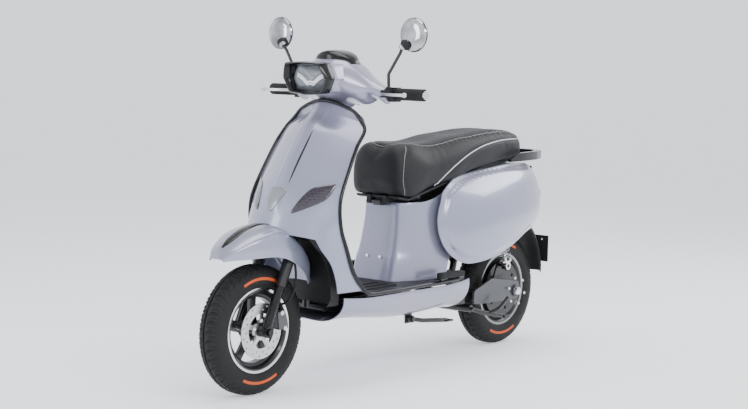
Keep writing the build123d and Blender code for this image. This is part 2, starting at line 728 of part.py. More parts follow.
def dial_prism(grow):
    """Plan outline of the dial on top of the headset."""
    pts = [(BAR_X + 112 + grow, 0), (BAR_X + 100 + grow, 48 + grow), (BAR_X + 70, 84 + grow),
           (BAR_X + 22, 84 + grow), (BAR_X - 4 - grow, 48 + grow), (BAR_X - 12 - grow, 0)]
    pts += [(x, -y) for x, y in reversed(pts[1:-1])]
    return plan_prism(pts, BAR_Z + 60, BAR_Z + 240)


def instrument_panel():
    """A domed dark dial that fills the opening in the headset."""
    wires = []
    rows = [(-r[0], *r[1:]) for r in reversed(DIAL_TOP_ROWS[1:])] + DIAL_TOP_ROWS
    for y, x0, x1, low, top in rows:
        pts = [(x0, low), (x1, low), (x1 - 4, top - 14), ((x0 + x1) / 2 + 10, top), (x0 + 5, top - 10)]
        wires.append(Wire(Polyline(*[(BAR_X + x, y, BAR_Z + z) for x, z in pts],
                                   close=True).edges()))
    dome = Solid.make_loft(wires, ruled=True)
    return dome & dial_prism(0)


def bar_sleeve(y0, y1, r, bore):
    return rod_y(BAR_X, BAR_Z, y0, y1, r) - rod_y(BAR_X, BAR_Z, y0 - 1, y1 + 1, bore)


def switch_pods():
    """A switch housing on each side of the bar."""
    pod = rod_y(BAR_X, BAR_Z, POD_Y0, POD_Y1, POD_R) + slab(BAR_X - 22, BAR_X + 14, POD_Y0, POD_Y1,
                                                           BAR_Z - 26, BAR_Z + 22)
    pod -= rod_y(BAR_X, BAR_Z, POD_Y0 - 1, POD_Y1 + 1, BAR_R)
    left = pod - slab(BAR_X - 40, BAR_X - 14, POD_Y0 + 8, POD_Y0 + 20, BAR_Z - 19, BAR_Z - 7)
    left -= slab(BAR_X - 40, BAR_X - 16, POD_Y0 + 4, POD_Y1 - 3, BAR_Z + 2, BAR_Z + 12)
    right = mirror_y(pod)
    right -= rod((BAR_X - 40, -POD_Y0 - 14, BAR_Z - 13), (BAR_X - 14, -POD_Y0 - 14, BAR_Z - 13), 6.5)
    return group(left, right)


def horn_button():
    z = BAR_Z - 13
    return slab(BAR_X - 25, BAR_X - 14 - BUTTON_TRAVEL - 0.5, POD_Y0 + 8.6, POD_Y0 + 19.4,
                z - 5.4, z + 5.4)


def start_button():
    y, z = -POD_Y0 - 14, BAR_Z - 13
    return rod((BAR_X - 25, y, z), (BAR_X - 14 - BUTTON_TRAVEL - 0.5, y, z), 6.0)


def indicator_switch():
    middle = (POD_Y0 + POD_Y1) / 2
    return slab(BAR_X - 28, BAR_X - 16.6, middle - 4.5, middle + 4.5, BAR_Z + 2.6, BAR_Z + 11.4)


def lever_brackets():
    """The clamped brackets in front of the bar that carry the levers and the mirrors."""
    x, y = LEVER_PIVOT
    arm = slab(BAR_X + 14.4, BAR_X + x + 10, PERCH_Y0, PERCH_Y1, BAR_Z - 11, BAR_Z + 14)
    arm -= rod_y(BAR_X, BAR_Z, 100, 300, POD_R)
    arm -= slab(BAR_X + 28, BAR_X + 80, PERCH_Y0 - 1, PERCH_Y1 + 1, BAR_Z - LEVER_T / 2 - 0.6,
                BAR_Z + LEVER_T / 2 + 0.6)
    arm += rod((BAR_X + x, y, BAR_Z - 11), (BAR_X + x, y, BAR_Z + 11), LEVER_PIN_R)
    mirror_boss = rod((BAR_X + 26, y, BAR_Z + 8), (BAR_X + 26, y, BAR_Z + 24), 9)
    mirror_boss -= rod_y(BAR_X, BAR_Z, 100, 300, POD_R)
    arm += mirror_boss
    return group(arm, mirror_y(arm))


def brake_lever():
    """The left lever: a curved blade from its pivot to a ball end."""
    x, y = LEVER_PIVOT
    pivot = (BAR_X + x, y)
    tip = (BAR_X + LEVER_TIP_X - 8, LEVER_TIP_Y)
    blade = [(pivot[0] - 9, y - 3), (pivot[0] + 6, y - 9), (pivot[0] + 24, y + 22),
             (tip[0] + 7, y + 66), (tip[0] + 5, tip[1]), (tip[0] - 5, tip[1]),
             (tip[0] - 6, y + 68), (pivot[0] + 8, y + 34), (pivot[0] - 6, y + 14)]
    body = plan_prism(blade, BAR_Z - LEVER_T / 2, BAR_Z + LEVER_T / 2)
    body += Pos(tip[0], tip[1], BAR_Z) * Sphere(8.5)
    body += rod((*pivot, BAR_Z - LEVER_T / 2), (*pivot, BAR_Z + LEVER_T / 2), 8.5)
    return body - rod((*pivot, BAR_Z - 20), (*pivot, BAR_Z + 20), LEVER_PIN_R + RUNNING)


def grip(bore):
    """A rubber grip with a flange at its inner end."""
    g = bar_sleeve(GRIP_Y0, GRIP_Y0 + 5, GRIP_R + 4, bore)
    g += bar_sleeve(GRIP_Y0 + 5, GRIP_Y0 + GRIP_LEN - 3, GRIP_R, bore)
    return g


def bar_ends():
    """The metal weights in the ends of the bar."""
    y0 = GRIP_Y0 + GRIP_LEN - 2.5
    end = rod_y(BAR_X, BAR_Z, y0, BAR_HALF_WIDTH, GRIP_R - 1)
    end -= rod_y(BAR_X, BAR_Z, 0, BAR_HALF_WIDTH - 4, BAR_R)
    return group(end, mirror_y(end))


def mirror_ball():
    """The centre of a mirror's ball joint."""
    return Vector(BAR_X + BALL_PLACE[0], MIRROR_Y + BALL_PLACE[1], BAR_Z + BALL_PLACE[2])


def stem_route():
    x, y, z = STEM_BASE
    return [(BAR_X + x, y, BAR_Z + z), (BAR_X + x + 2, y, BAR_Z + z + 42),
            (BAR_X + x - 2, y + 46, BAR_Z + 138), tuple(mirror_ball())]


def mirror_stems():
    """Bent rods from the lever brackets up to each mirror's ball."""
    stem = pipe(stem_route(), 5.5, 14)
    stem += Pos(*mirror_ball()) * Sphere(BALL_R)
    return group(stem, mirror_y(stem))


def mirror_head():
    """A round mirror: a domed back towards the front and a flat glass towards the rider."""
    cx, cz = BAR_X + MIRROR_PIVOT[0], BAR_Z + MIRROR_PIVOT[1] + 18
    profile = [(0, 0), (MIRROR_R - 3, 0), (MIRROR_R, 3), (MIRROR_R - 3, 9), (MIRROR_R - 16, 14.5),
               (26, 17), (0, 18)]
    face = Plane.XZ * make_face(Polyline(*profile, close=True))
    dish = revolve(face, axis=Axis.Z)
    head = Pos(cx, MIRROR_Y, cz) * (Rot(0, 90, 0) * dish)
    ball, before = mirror_ball(), Vector(*stem_route()[-2])
    way = (ball - before).normalized()
    socket = Pos(*ball) * Sphere(SOCKET_R)
    neck = rod(tuple(ball), (cx + 8, MIRROR_Y - 12, cz - 16), MIRROR_NECK_R)
    mouth = rod(tuple(ball - way * SOCKET_MOUTH), tuple(ball - way * 3 * SOCKET_R), 2 * SOCKET_R)
    return head + (socket + neck - Pos(*ball) * Sphere(BALL_R + RUNNING) - mouth)


# ---------------------------------------------------------------- frame


def main_frame():
    """Head tube, down tube, floor rails and seat rails welded into one tubular frame."""
    low = (steering_x(HEAD_LOW_Z), 0, HEAD_LOW_Z)
    high = (steering_x(HEAD_HIGH_Z), 0, HEAD_HIGH_Z)
    head = rod(low, high, HEAD_TUBE_R)
    down = pipe([(steering_x(680) - 10, 0, 680), (F + DOWN_TUBE_X, 0, 505),
                 (F + DOWN_TUBE_X, 0, RAIL_Z)], DOWN_TUBE_R, 60)
    cross_x, cross_z = F + DOWN_TUBE_X - 4, RAIL_Z + 4
    front_cross = rod((cross_x, -RAIL_Y, cross_z), (cross_x, RAIL_Y, cross_z), RAIL_R)
    side = [(F + DOWN_TUBE_X, RAIL_Y, RAIL_Z + 4), (F - 500, RAIL_Y, RAIL_Z - 12),
            (R + 400, RAIL_Y, RAIL_Z - 12), (R + 340, RAIL_Y, 470), (R + 150, RAIL_Y, 622),
            (R - 120, TAIL_RAIL_Y, 640)]
    rail = pipe(side, RAIL_R, 45)
    frame = head + down + front_cross + rail + mirror_y(rail)
    for x, z, half in [(R + 400, RAIL_Z - 12, RAIL_Y), (R + 366, 380, RAIL_Y), (R - 110, 640, 62)]:
        frame += rod((x, -half, z), (x, half, z), RAIL_R - 3)
    ear = [(SWING_PIVOT_X - 26, SWING_PIVOT_Z - 20), (SWING_PIVOT_X + 34, SWING_PIVOT_Z - 20),
           (R + 408, 330), (R + 372, 340), (SWING_PIVOT_X - 26, SWING_PIVOT_Z + 22)]
    ear = side_prism(ear, RAIL_Y - 4, RAIL_Y + 4)
    x, z = SHOCK_TOP
    shock_ear = side_prism([(x - 14, z - 10), (x + 14, z - 10), (x + 20, z + 104), (x - 20, z + 104)],
                           RAIL_Y - 10, RAIL_Y - 3.5)
    for plate in (ear, shock_ear):
        frame += plate
        frame += mirror_y(plate)
    for s in (1, -1):
        frame += rod_y(*SHOCK_TOP, s * (RAIL_Y - 10), s * (SHOCK_Y + 16), SHOCK_PIN_R)
    frame += rod_y(SWING_PIVOT_X, SWING_PIVOT_Z, -RAIL_Y - 8, RAIL_Y + 8, PIVOT_R)
    frame -= rod(*stem_ends(), HEAD_TUBE_R - HEAD_TUBE_WALL)
    return frame


# ---------------------------------------------------------------- rear wheel, motor and swingarm


def hub_motor_wheel():
    """Rim and motor shell cast in one, hollow for the stator, with its two bearings' seats."""
    x, z = REAR_AXLE_X, TYRE_R
    body = rim(x, z, RIM_INNER_R)
    shell = rod_y(x, z, -MOTOR_HALF_W, MOTOR_HALF_W, RIM_INNER_R + 1)
    inside = MOTOR_HALF_W - MOTOR_WALL - REAR_BEARING_W
    shell -= rod_y(x, z, -inside, inside, MOTOR_R - MOTOR_WALL)
    shell -= rod_y(x, z, -100, 100, MOTOR_BORE_R)
    body += shell
    for i in range(SPOKES * 2):
        a = math.radians(i * 180 / SPOKES)
        hole_x, hole_z = x + MOTOR_HOLES_R * math.cos(a), z + MOTOR_HOLES_R * math.sin(a)
        hole = rod_y(hole_x, hole_z, MOTOR_HALF_W - 4, MOTOR_HALF_W + 1, 7)
        body = body - hole - mirror_y(hole)
    return body


def motor_bearings():
    ring = rod_y(REAR_AXLE_X, TYRE_R, MOTOR_HALF_W - REAR_BEARING_W, MOTOR_HALF_W, MOTOR_BORE_R)
    ring -= rod_y(REAR_AXLE_X, TYRE_R, 0, 100, REAR_AXLE_R + RUNNING)
    return group(ring, mirror_y(ring))


def motor_stator():
    """The wound core on its fixed axle, with the axle's nuts."""
    x, z = REAR_AXLE_X, TYRE_R
    inside = MOTOR_HALF_W - MOTOR_WALL - REAR_BEARING_W - 2
    core = rod_y(x, z, -inside, inside, MOTOR_R - MOTOR_WALL - STATOR_GAP)
    for i in range(STATOR_TEETH):
        a = math.radians(i * 360 / STATOR_TEETH)
        core -= rod_y(x + (MOTOR_R - 12) * math.cos(a), z + (MOTOR_R - 12) * math.sin(a), -60, 60, 4)
    end = SWING_Y + SWING_TUBE_R + 16
    axle = rod_y(x, z, -end, end, REAR_AXLE_R)
    for s in (1, -1):
        axle += rod_y(x, z, s * (SWING_Y + 9), s * (SWING_Y + 17), 12)
    return core + axle


def swingarm():
    """Two arms, a pivot sleeve, a cross tube, dropouts and shock lugs."""
    low = SWING_PIVOT_Z
    sleeve = rod_y(SWING_PIVOT_X, low, -RAIL_Y + 9, RAIL_Y - 9, 17)
    arm = slab(REAR_AXLE_X + 26, SWING_PIVOT_X, SWING_Y - 9, SWING_Y + 9, low - 15, low + 15)
    drop = rod_y(REAR_AXLE_X, TYRE_R, SWING_Y - 9, SWING_Y + 9, 28)
    lug = side_prism([(SHOCK_LOW[0] - 14, SHOCK_LOW[1]), (SHOCK_LOW[0] + 14, SHOCK_LOW[1] + 8),
                      (SHOCK_LOW[0] + 60, low), (SHOCK_LOW[0] - 34, low)], SWING_Y + 1, SWING_Y + 8)
    lug += rod_y(*SHOCK_LOW, SWING_Y + 1, SWING_Y + 8, 14)
    lug += rod_y(*SHOCK_LOW, SWING_Y + 1, SHOCK_Y + 14, SHOCK_PIN_R)
    half = arm + drop + lug
    cross = rod_y(SWING_PIVOT_X - 72, low, -SWING_Y, SWING_Y, 13)
    body = half + mirror_y(half) + sleeve + cross
    body -= rod_y(SWING_PIVOT_X, low, -200, 200, PIVOT_R + RUNNING)
    return body - rod_y(REAR_AXLE_X, TYRE_R, -200, 200, REAR_AXLE_R)


def motor_cover():
    """A teardrop cover bolted over the left arm, with the axle cap at its tail."""
    y0, y1 = SWING_Y + SWING_TUBE_R + 19, SWING_Y + SWING_TUBE_R + 19 + COVER_T
    x, z = REAR_AXLE_X, TYRE_R
    outline = FilletPolyline((x - 34, 0, z), (x - 20, 0, z + 34), (x + 150, 0, z + 62),
                             (x + 262, 0, z + 24), (x + 262, 0, z - 26), (x + 190, 0, z - 30),
                             (x - 14, 0, z - 32), radius=14, close=True)
    cover = Pos(0, y0, 0) * extrude(make_face(outline), amount=y1 - y0, dir=(0, 1, 0))
    for px, pz in [(x + 60, z), (x + 200, z)]:
        cover += rod_y(px, pz, SWING_Y + 9, y0 + 2, 7)
    cover -= rod_y(x, z, 0, y0 + 4, 13)
    return cover + rod_y(x, z, y1, y1 + 8, 22)


def shock_line():
    top, low = Vector(SHOCK_TOP[0], 0, SHOCK_TOP[1]), Vector(SHOCK_LOW[0], 0, SHOCK_LOW[1])
    return top, (low - top).normalized(), (low - top).length


def shock_point(s, y):
    top, way, _ = shock_line()
    p = top + way * s
    return (p.X, y, p.Z)


def shock_bodies():
    """The upper halves: an eye, a damper body and the spring's upper seat."""
    _, _, length = shock_line()
    eye = rod_y(*SHOCK_TOP, SHOCK_Y - SHOCK_PAD, SHOCK_Y + SHOCK_PAD, 15)
    body = rod(shock_point(8, SHOCK_Y), shock_point(length - 84, SHOCK_Y), SHOCK_BODY_R)
    seat = rod(shock_point(26, SHOCK_Y), shock_point(32, SHOCK_Y), SPRING_R + 4)
    body = body + eye + seat
    body -= rod(shock_point(24, SHOCK_Y), shock_point(length, SHOCK_Y), SHOCK_ROD_R + RUNNING)
    body -= rod_y(*SHOCK_TOP, 0, 200, SHOCK_PIN_R + RUNNING)
    return group(body, mirror_y(body))


def shock_rods():
    """The lower halves: an eye, a rod and the spring's lower seat."""
    _, _, length = shock_line()
    eye = rod_y(*SHOCK_LOW, SHOCK_Y - SHOCK_PAD, SHOCK_Y + SHOCK_PAD, 15)
    shaft = rod(shock_point(66, SHOCK_Y), shock_point(length - 8, SHOCK_Y), SHOCK_ROD_R)
    seat = rod(shock_point(length - 26, SHOCK_Y), shock_point(length - 20, SHOCK_Y), SPRING_R + 4)
    low = shaft + eye + seat
    low -= rod_y(*SHOCK_LOW, 0, 200, SHOCK_PIN_R + SHOCK_EYE_CLEAR)
    return group(low, mirror_y(low))


def shock_springs():
    """Coil springs between the two seats, one on each side."""
    _, way, length = shock_line()
    start, end = 32.0 + SPRING_WIRE_R + 0.3, length - 26 - SPRING_WIRE_R - 0.3
    helix = Helix(pitch=(end - start) / SPRING_TURNS, height=end - start, radius=SPRING_R)
    plane = Plane(origin=shock_point(start, SHOCK_Y), z_dir=way)
    path = plane * helix
    profile = Plane(origin=path @ 0, z_dir=path % 0) * Circle(SPRING_WIRE_R)
    coil = sweep(profile, path=path, is_frenet=True)
    return group(coil, mirror_y(coil))


# ---------------------------------------------------------------- floor and belly


def floorboard():
    """A flat plate with turned-down sides, notched for the pillar."""
    x0, x1 = R + FLOOR_REAR_X, F + FLOOR_FRONT_X
    plate = slab(x0, x1, -FLOOR_SIDE_Y, FLOOR_SIDE_Y, FLOOR_Z - FLOOR_T, FLOOR_Z)
    lip = slab(x0, x1, FLOOR_SIDE_Y - FLOOR_T, FLOOR_SIDE_Y, FLOOR_Z - 14, FLOOR_Z)
    plate = plate + lip + mirror_y(lip)
    half = PILLAR_HALF_W - PANEL_T - 14
    notch = slab(x0 - 1, R + PILLAR_FRONT_X - 60, -half, half, 0, 600)
    return plate - notch


def floor_strips():
    """Six raised rubber strips to stand on."""
    x0, x1 = R + PILLAR_FRONT_X + 40, F + FLOOR_FRONT_X - 40
    strips = [slab(x0, x1, y - STRIP_W / 2, y + STRIP_W / 2, FLOOR_Z, FLOOR_Z + STRIP_H)
              for y in STRIP_Y]
    return both_sides(Compound(children=strips))


# rows of: x, then (y, z) from the side down to the middle; front rows from the front axle
def belly_rows():
    return [
        (F - 254, [(176, 312), (166, 270), (110, 231), (0, 225)]),
        (F - 383, [(196, 305), (184, 262), (120, 228), (0, 222)]),
        (F - 520, [(197, 305), (182, 248), (116, 212), (0, 206)]),
        (R + 577, [(197, 305), (180, 244), (114, 208), (0, 202)]),
        (R + 420, [(190, 316), (174, 248), (110, 206), (0, 200)]),
    ]


def belly_pan():
    """The underside, a trough from the front well to the pillar's rear."""
    stations = []
    for x, half in belly_rows():
        line = half + [(-y, z) for y, z in reversed(half[:-1])]
        stations.append((at_x(x), list(reversed(line))))
    x, y = R + STAND_PIVOT[0], STAND_PIVOT[1]
    return panel(stations) - slab(x - 22, x + 22, y - 18, y - 7, 150, 240)


# ---------------------------------------------------------------- bodywork behind the rider's feet


def seat_pillar():
    """The front of the body under the seat, open at the back."""
    stations = []
    for z, front, shoulder, y, rear, y_rear in PILLAR_ROWS:
        line = [(R + rear, y_rear), (R + (rear + shoulder) / 2, (y + y_rear) / 2 + 8),
                (R + shoulder, y), (R + front, 0)]
        line += [(x, -yy) for x, yy in reversed(line[:-1])]
        stations.append((at_z(z), line))
    return panel(stations)


def side_cowl():
    """The left body side, bulging out below the seat."""
    stations = [(at_x(R + x), list(reversed(points))) for x, points in reversed(COWL_ROWS)]
    shell = panel(stations)
    return shell & side_prism([(R + x, z) for x, z in COWL_OUTLINE], 20, 260)


def tail_light():
    """The lamp and the flat housing behind it, which closes the gap between the cowls."""
    x = R + TAIL_X
    lamp = side_prism([(x + dx, z) for dx, z in TAIL_LAMP], -52, 52)
    corners = TAIL_HOUSING + [(-y, z) for y, z in reversed(TAIL_HOUSING)]
    plane = Plane(origin=(x, 0, 0), x_dir=(0, 1, 0), z_dir=(1, 0, 0))
    housing = plane * extrude(make_face(Polyline(*corners, close=True)), TAIL_HOUSING_T)
    return lamp + housing


def rear_mudguard():
    """A wheel cover that carries the plate bracket behind the tail."""
    rows = [(118, 284, 74), (134, 270, 74), (150, 252, 74), (160, 246, 72), (168, 244, 66)]
    stations = [(radial(REAR_AXLE_X, TYRE_R, a),
                 [(-w, r - 22), (-w * 0.85, r - 5), (0, r), (w * 0.85, r - 5), (w, r - 22)])
                for a, r, w in rows]
    return panel(stations)


def plate_bracket():
    """A flat carrier for the number plate, with two bolt holes."""
    x = REAR_END_X
    plate = slab(x, x + PLATE_T, -PLATE_W / 2, PLATE_W / 2, PLATE_Z, PLATE_Z + PLATE_H)
    for s in (1, -1):
        plate -= Pos(x, s * PLATE_HOLE_X / 2, PLATE_Z + PLATE_H - 16) * (
            Rot(0, 90, 0) * Cylinder(PLATE_HOLE_R, 30))
    return plate


def seat_section(x, w, low, top):
    h = top - low
    half = [(0, low), (w * 0.60, low), (w * 0.93, low + 0.07 * h), (w, low + 0.30 * h),
            (w * 0.96, low + 0.65 * h), (w * 0.74, low + 0.94 * h), (0, top)]
    pts = half + [(-y, z) for y, z in reversed(half[1:-1])]
    return Wire([Spline(*[(x, y, z) for y, z in pts], periodic=True).edge()])


def seat_cushion():
    body = Solid.make_loft([seat_section(R + x, w, low, top) for x, w, low, top in SEAT_ROWS])
    x, z = R + SEAT_HINGE[0], SEAT_HINGE[1]
    for s in (1, -1):
        y0, y1 = sorted((s * 25.5, s * 46.5))
        body -= slab(x - 20.5, x + 8.5, y0, y1, z - 12, z + 24.5)
    return body - pan_block(0.0, 60)


def pan_block(shrink, below):
    """The space of the seat pan, from a depth below the cushion's underside."""
    rows = [(x, w - 26 - shrink, low, top) for x, w, low, top in SEAT_ROWS[1:-1]]
    left = [(R + x, y) for x, y, _, _ in rows]
    pts = left + [(x, -y) for x, y in reversed(left)]
    plan = plan_prism(pts, 560, 900)
    side = [(R + x, low + SEAT_PAN_T) for x, _, low, _ in rows]
    side += [(R + x, low - below) for x, _, low, _ in reversed(rows)]
    return plan & side_prism(side, -300, 300)


def seat_pan():
    """The stiff base of the seat, with its hinge knuckles at the front."""
    pan = pan_block(0.5, -0.3)
    x, z = R + SEAT_HINGE[0], SEAT_HINGE[1]
    for s in (1, -1):
        y0, y1 = sorted((s * 26, s * 46))
        knuckle = rod_y(x, z, y0, y1, 8) + slab(x - 20, x + 5, y0, y1, z - 2, z + 24)
        pan += knuckle - rod_y(x, z, -100, 100, SEAT_HINGE_R + RUNNING)
    return pan


def seat_hinge_pin():
    """The hinge pin with its bracket on the frame side."""
    x, z = R + SEAT_HINGE[0], SEAT_HINGE[1]
    pin = rod_y(x, z, -48, 48, SEAT_HINGE_R)
    lug = rod_y(x, z, -20, 20, 8) + slab(R + 440, x, -20, 20, z - 12, z - 4)
    for s in (1, -1):
        lug += rod((R + 372, s * (RAIL_Y - 8), 360), (R + 450, s * 16, z - 8), 7)
    return pin + lug


def grab_rail():
    """An angular rail round the back of the seat, for the passenger's hands."""
    plan_out = [(100, 136), (20, 132), (-96, 114), (-172, 84), (-209, 44)]
    plan_in = [(100, 122), (14, 116), (-88, 98), (-150, 66), (-178, 34)]
    left = [(R + x, y) for x, y in plan_out] + [(R + x, -y) for x, y in reversed(plan_out)]
    left += [(R + x, -y) for x, y in plan_in] + [(R + x, y) for x, y in reversed(plan_in)]
    ring = plan_prism(left, 720, 752)
    feet = slab(R - 76, R - 36, -100, 100, 714, 724)
    wedge = side_prism([(R + 101, 728), (R + 101, 760), (R + 20, 760)], -200, 200)
    return ring - wedge


def helmet_bucket():
    """A deep tray under the seat, open at the top."""
    def block(wall, top):
        outline = [(R + 400 - wall, 505 + wall), (R + 230, 505 + wall), (R + 40, 560 + wall),
                   (R - 20 + wall, 620), (R - 20 + wall, top), (R + 400 - wall, top)]
        return side_prism(outline, -60 + wall, 60 - wall)
    return block(0, 650) - block(BUCKET_WALL, 700)


def battery_pack():
    """The traction battery with its carry handle, between the frame rails."""
    x0, x1 = R + 478, R + 650
    box = slab(x0, x1, -64, 64, 275, 520)
    box = fillet(box.edges().filter_by(Axis.Z), 12)
    handle = pipe([(x0 + 40, 0, 518), (x0 + 40, 0, 550), (x1 - 40, 0, 550), (x1 - 40, 0, 518)], 6, 14)
    return box + handle


def indicator_lenses():
    """Smoked lamp lenses let into the sides of the apron."""
    left = panel([(at_z(z), [(F + x + 16, y) for x, y in reversed(pts)])
                  for z, pts in INDICATOR_ROWS], INDICATOR_T)
    return group(left, mirror_y(left))


def horn_grille():
    """A three-sided cover at the foot of the tie."""
    outline = [(0, 604), (38, 652), (34, 662), (-34, 662), (-38, 652)]
    face = make_face(Polyline(*[(F - 70, y, z) for y, z in outline], close=True))
    block = extrude(face, amount=80, dir=(-1, 0, 0))
    return block & side_prism([(F - 82, 600), (F - 108, 664), (F - 112, 662), (F - 86, 598)],
                              -60, 60)


def body_screws():
    """Pan-head screws in the panels."""
    head = Rot(0, 90, 0) * Cylinder(SCREW_R + 1, SCREW_HEAD_T)
    screws = [Pos(R + SCREW_X, s * SCREW_Y, SCREW_Z) * head for s in (1, -1)]
    return group(*screws)


def passenger_peg():
    """The left folding foot peg, swung back along the body."""
    x, y, z = R + PEG_HINGE[0], PEG_HINGE[1] + 16, PEG_HINGE[2]
    arm = slab(x - PEG_LEN, x, y - PEG_W / 2, y + PEG_W / 2, z, z + PEG_T)
    arm += rod((x, y, z), (x, y, z + PEG_T), PEG_W / 2)
    return arm - rod((x, y, z - 5), (x, y, z + PEG_T + 5), PEG_PIN_R + RUNNING)


def peg_brackets():
    """Lugs with a pin for each folding peg, welded to the frame's rails."""
    x, y, z = R + PEG_HINGE[0], PEG_HINGE[1] + 16, PEG_HINGE[2]
    lug = slab(x - 12, x + 12, 196, y + 10, z - 6, z - 0.5)
    lug += rod((x, y, z - 3), (x, y, z + PEG_T + 3), PEG_PIN_R)
    return group(lug, mirror_y(lug))


def side_stand():
    """A bent leg with a foot, folded back under the body's left edge."""
    x, y, z = R + STAND_PIVOT[0], STAND_PIVOT[1], STAND_PIVOT[2]
    leg = pipe([(x, y, z), (x - 60, y + 4, z - 12), (x - STAND_LEN, y + 6, z - 26)], STAND_R, 60)
    foot = Pos(x - STAND_LEN - 6, y + 6, z - 27) * Box(34, 34, 6)
    eye = rod_y(x, z, y - 8, y + 8, 13)
    return leg + foot + eye - rod_y(x, z, 0, 200, STAND_BOLT_R + RUNNING)


def side_stand_bracket():
    x, y, z = R + STAND_PIVOT[0], STAND_PIVOT[1], STAND_PIVOT[2]
    plate = side_prism([(x - 16, z - 16), (x + 16, z - 16), (x + 22, 262), (x - 22, 262)],
                       y - 16, y - 9)
    return plate + rod_y(x, z, y - 12, y + 10, STAND_BOLT_R) + rod_y(x, z, y + 9, y + 14, 9)


def centre_stand():
    """A two-legged stand folded back under the swingarm, with a foot lever."""
    x, z = R + CENTRE_STAND_PIVOT[0], CENTRE_STAND_PIVOT[1]
    half = pipe([(x, 92, z), (x - 70, 104, z - 22), (x - CENTRE_STAND_LEN, 118, z - 46)], 9, 50)
    half += Pos(x - CENTRE_STAND_LEN - 4, 118, z - 47) * Box(30, 26, 12)
    body = half + mirror_y(half) + rod_y(x, z, -100, 100, 14)
    lever = pipe([(x - 96, 109, z - 28), (x - 120, 140, z - 10), (x - 170, 146, z + 30)], 6, 16)
    body += lever
    return body - rod_y(x, z, -200, 200, CENTRE_PIN_R + RUNNING)


def centre_stand_pin():
    x, z = R + CENTRE_STAND_PIVOT[0], CENTRE_STAND_PIVOT[1]
    return rod_y(x, z, -112, 112, CENTRE_PIN_R)


def ignition_lock():
    """The lock barrel set into the inner apron, right of the head tube."""
    x, y, z = F + KEY_PLACE[0], KEY_PLACE[1], KEY_PLACE[2]
    barrel = rod((x + 14, y, z), (x + 44, y, z), 12)
    return barrel - rod((x, y, z), (x + 34, y, z), 4.6)


def ignition_key():
    x, y, z = F + KEY_PLACE[0], KEY_PLACE[1], KEY_PLACE[2]
    shank = rod((x + 8, y, z), (x + 32, y, z), 4.5)
    bow = slab(x - 22, x + 12, y - 2, y + 2, z - 12, z + 12)
    return shank + bow


def brake_hose():
    """A hose from the fork crown down the left leg to the caliper."""
    pts = [(F - 108, 96, 400), (F - 112, 92, 350), (F - 104, 70, 310), (F - 94, 40, 292)]
    return pipe(pts, 4, 16)


NODES = {
    "main_frame": lambda: group(main_frame() + seat_hinge_pin(), peg_brackets(),
                                side_stand_bracket(), centre_stand_pin()),
    "front_apron": lambda: group(*front_apron()),
    "inner_apron": lambda: group(inner_apron(), ignition_lock()),
    "edge_trim": lambda: group(*edge_trim()),
    "floorboard": floorboard,
    "floor_strips": floor_strips,
    "belly_pan": belly_pan,
    "wheel_arch_liner": wheel_arch_liner,
    "seat_pillar": seat_pillar,
    "side_cowl_left": side_cowl,
    "side_cowl_right": lambda: mirror_y(side_cowl()),
    "rear_mudguard": lambda: group(rear_mudguard(), plate_bracket()),
    "tail_light": tail_light,
    "grab_rail": grab_rail,
    "helmet_bucket": helmet_bucket,
    "battery_pack": battery_pack,
    "indicator_lenses": indicator_lenses,
    "horn_grille": horn_grille,
    "body_screws": body_screws,
    "head_bearings": head_bearings,
    "ignition_key": ignition_key,
    "passenger_peg_left": passenger_peg,
    "passenger_peg_right": lambda: mirror_y(passenger_peg()),
    "side_stand": side_stand,
    "centre_stand": centre_stand,
    "seat_pan": seat_pan,
    "seat_cushion": seat_cushion,
    "steering_stem": steering_stem,
    "front_fender": front_fender,
    "fender_crest": fender_crest,
    "handlebar": lambda: group(handlebar(), bar_ends()),
    "headset_cover": headset_cover,
    "headlight_housing": headlight_housing,
    "headlight_lens": headlight_lens,
    "instrument_panel": instrument_panel,
    "switch_pods": lambda: group(switch_pods(), lever_brackets()),
    "left_grip": lambda: grip(BAR_R),
    "throttle_grip": lambda: mirror_y(grip(BAR_R + RUNNING)),
    "brake_lever_left": brake_lever,
    "brake_lever_right": lambda: mirror_y(brake_lever()),
    "mirror_stems": mirror_stems,
    "mirror_left": mirror_head,
    "mirror_right": lambda: mirror_y(mirror_head()),
    "horn_button": horn_button,
    "indicator_switch": indicator_switch,
    "start_button": start_button,
    "brake_hose": brake_hose,
    "fork_sliders": lambda: group(fork_sliders(), front_axle()),
    "brake_caliper": brake_caliper,
    "front_tyre": lambda: tyre(FRONT_AXLE_X, TYRE_R),
    "front_wheel_rim": lambda: group(front_wheel_rim(), front_wheel_bearings()),
    "brake_disc": brake_disc,
    "swingarm": swingarm,
    "motor_stator": motor_stator,
    "motor_cover": motor_cover,
    "hub_motor_wheel": lambda: group(hub_motor_wheel(), motor_bearings()),
    "rear_tyre": lambda: tyre(REAR_AXLE_X, TYRE_R),
    "shock_bodies": shock_bodies,
    "shock_rods": shock_rods,
    "shock_springs": shock_springs,
}


def main():
    os.makedirs("parts", exist_ok=True)
    for name, make in NODES.items():
        shape = make()
        solids = shape.solids()
        part = solids[0] if len(solids) == 1 else Compound(children=list(solids))
        export_step(part, f"parts/{name}.step")
        print(name, len(solids), round(sum(s.volume for s in solids)))
    print(len(NODES), "nodes")


if __name__ == "__main__":
    main()
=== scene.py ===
# %% [markdown]
# # Finishing an electric step-through scooter
# The frame holds every part of the scooter at its real size and place. This lesson dresses that
# frame: glossy pearl bodywork, a stitched vinyl seat, treaded tyres and polished metal. Each step
# says what the real piece is, how it could be made, and why one way was chosen.

# %% Load the frame
import json
import math

import bmesh
import bpy
import numpy as np
from mathutils import Matrix, Vector

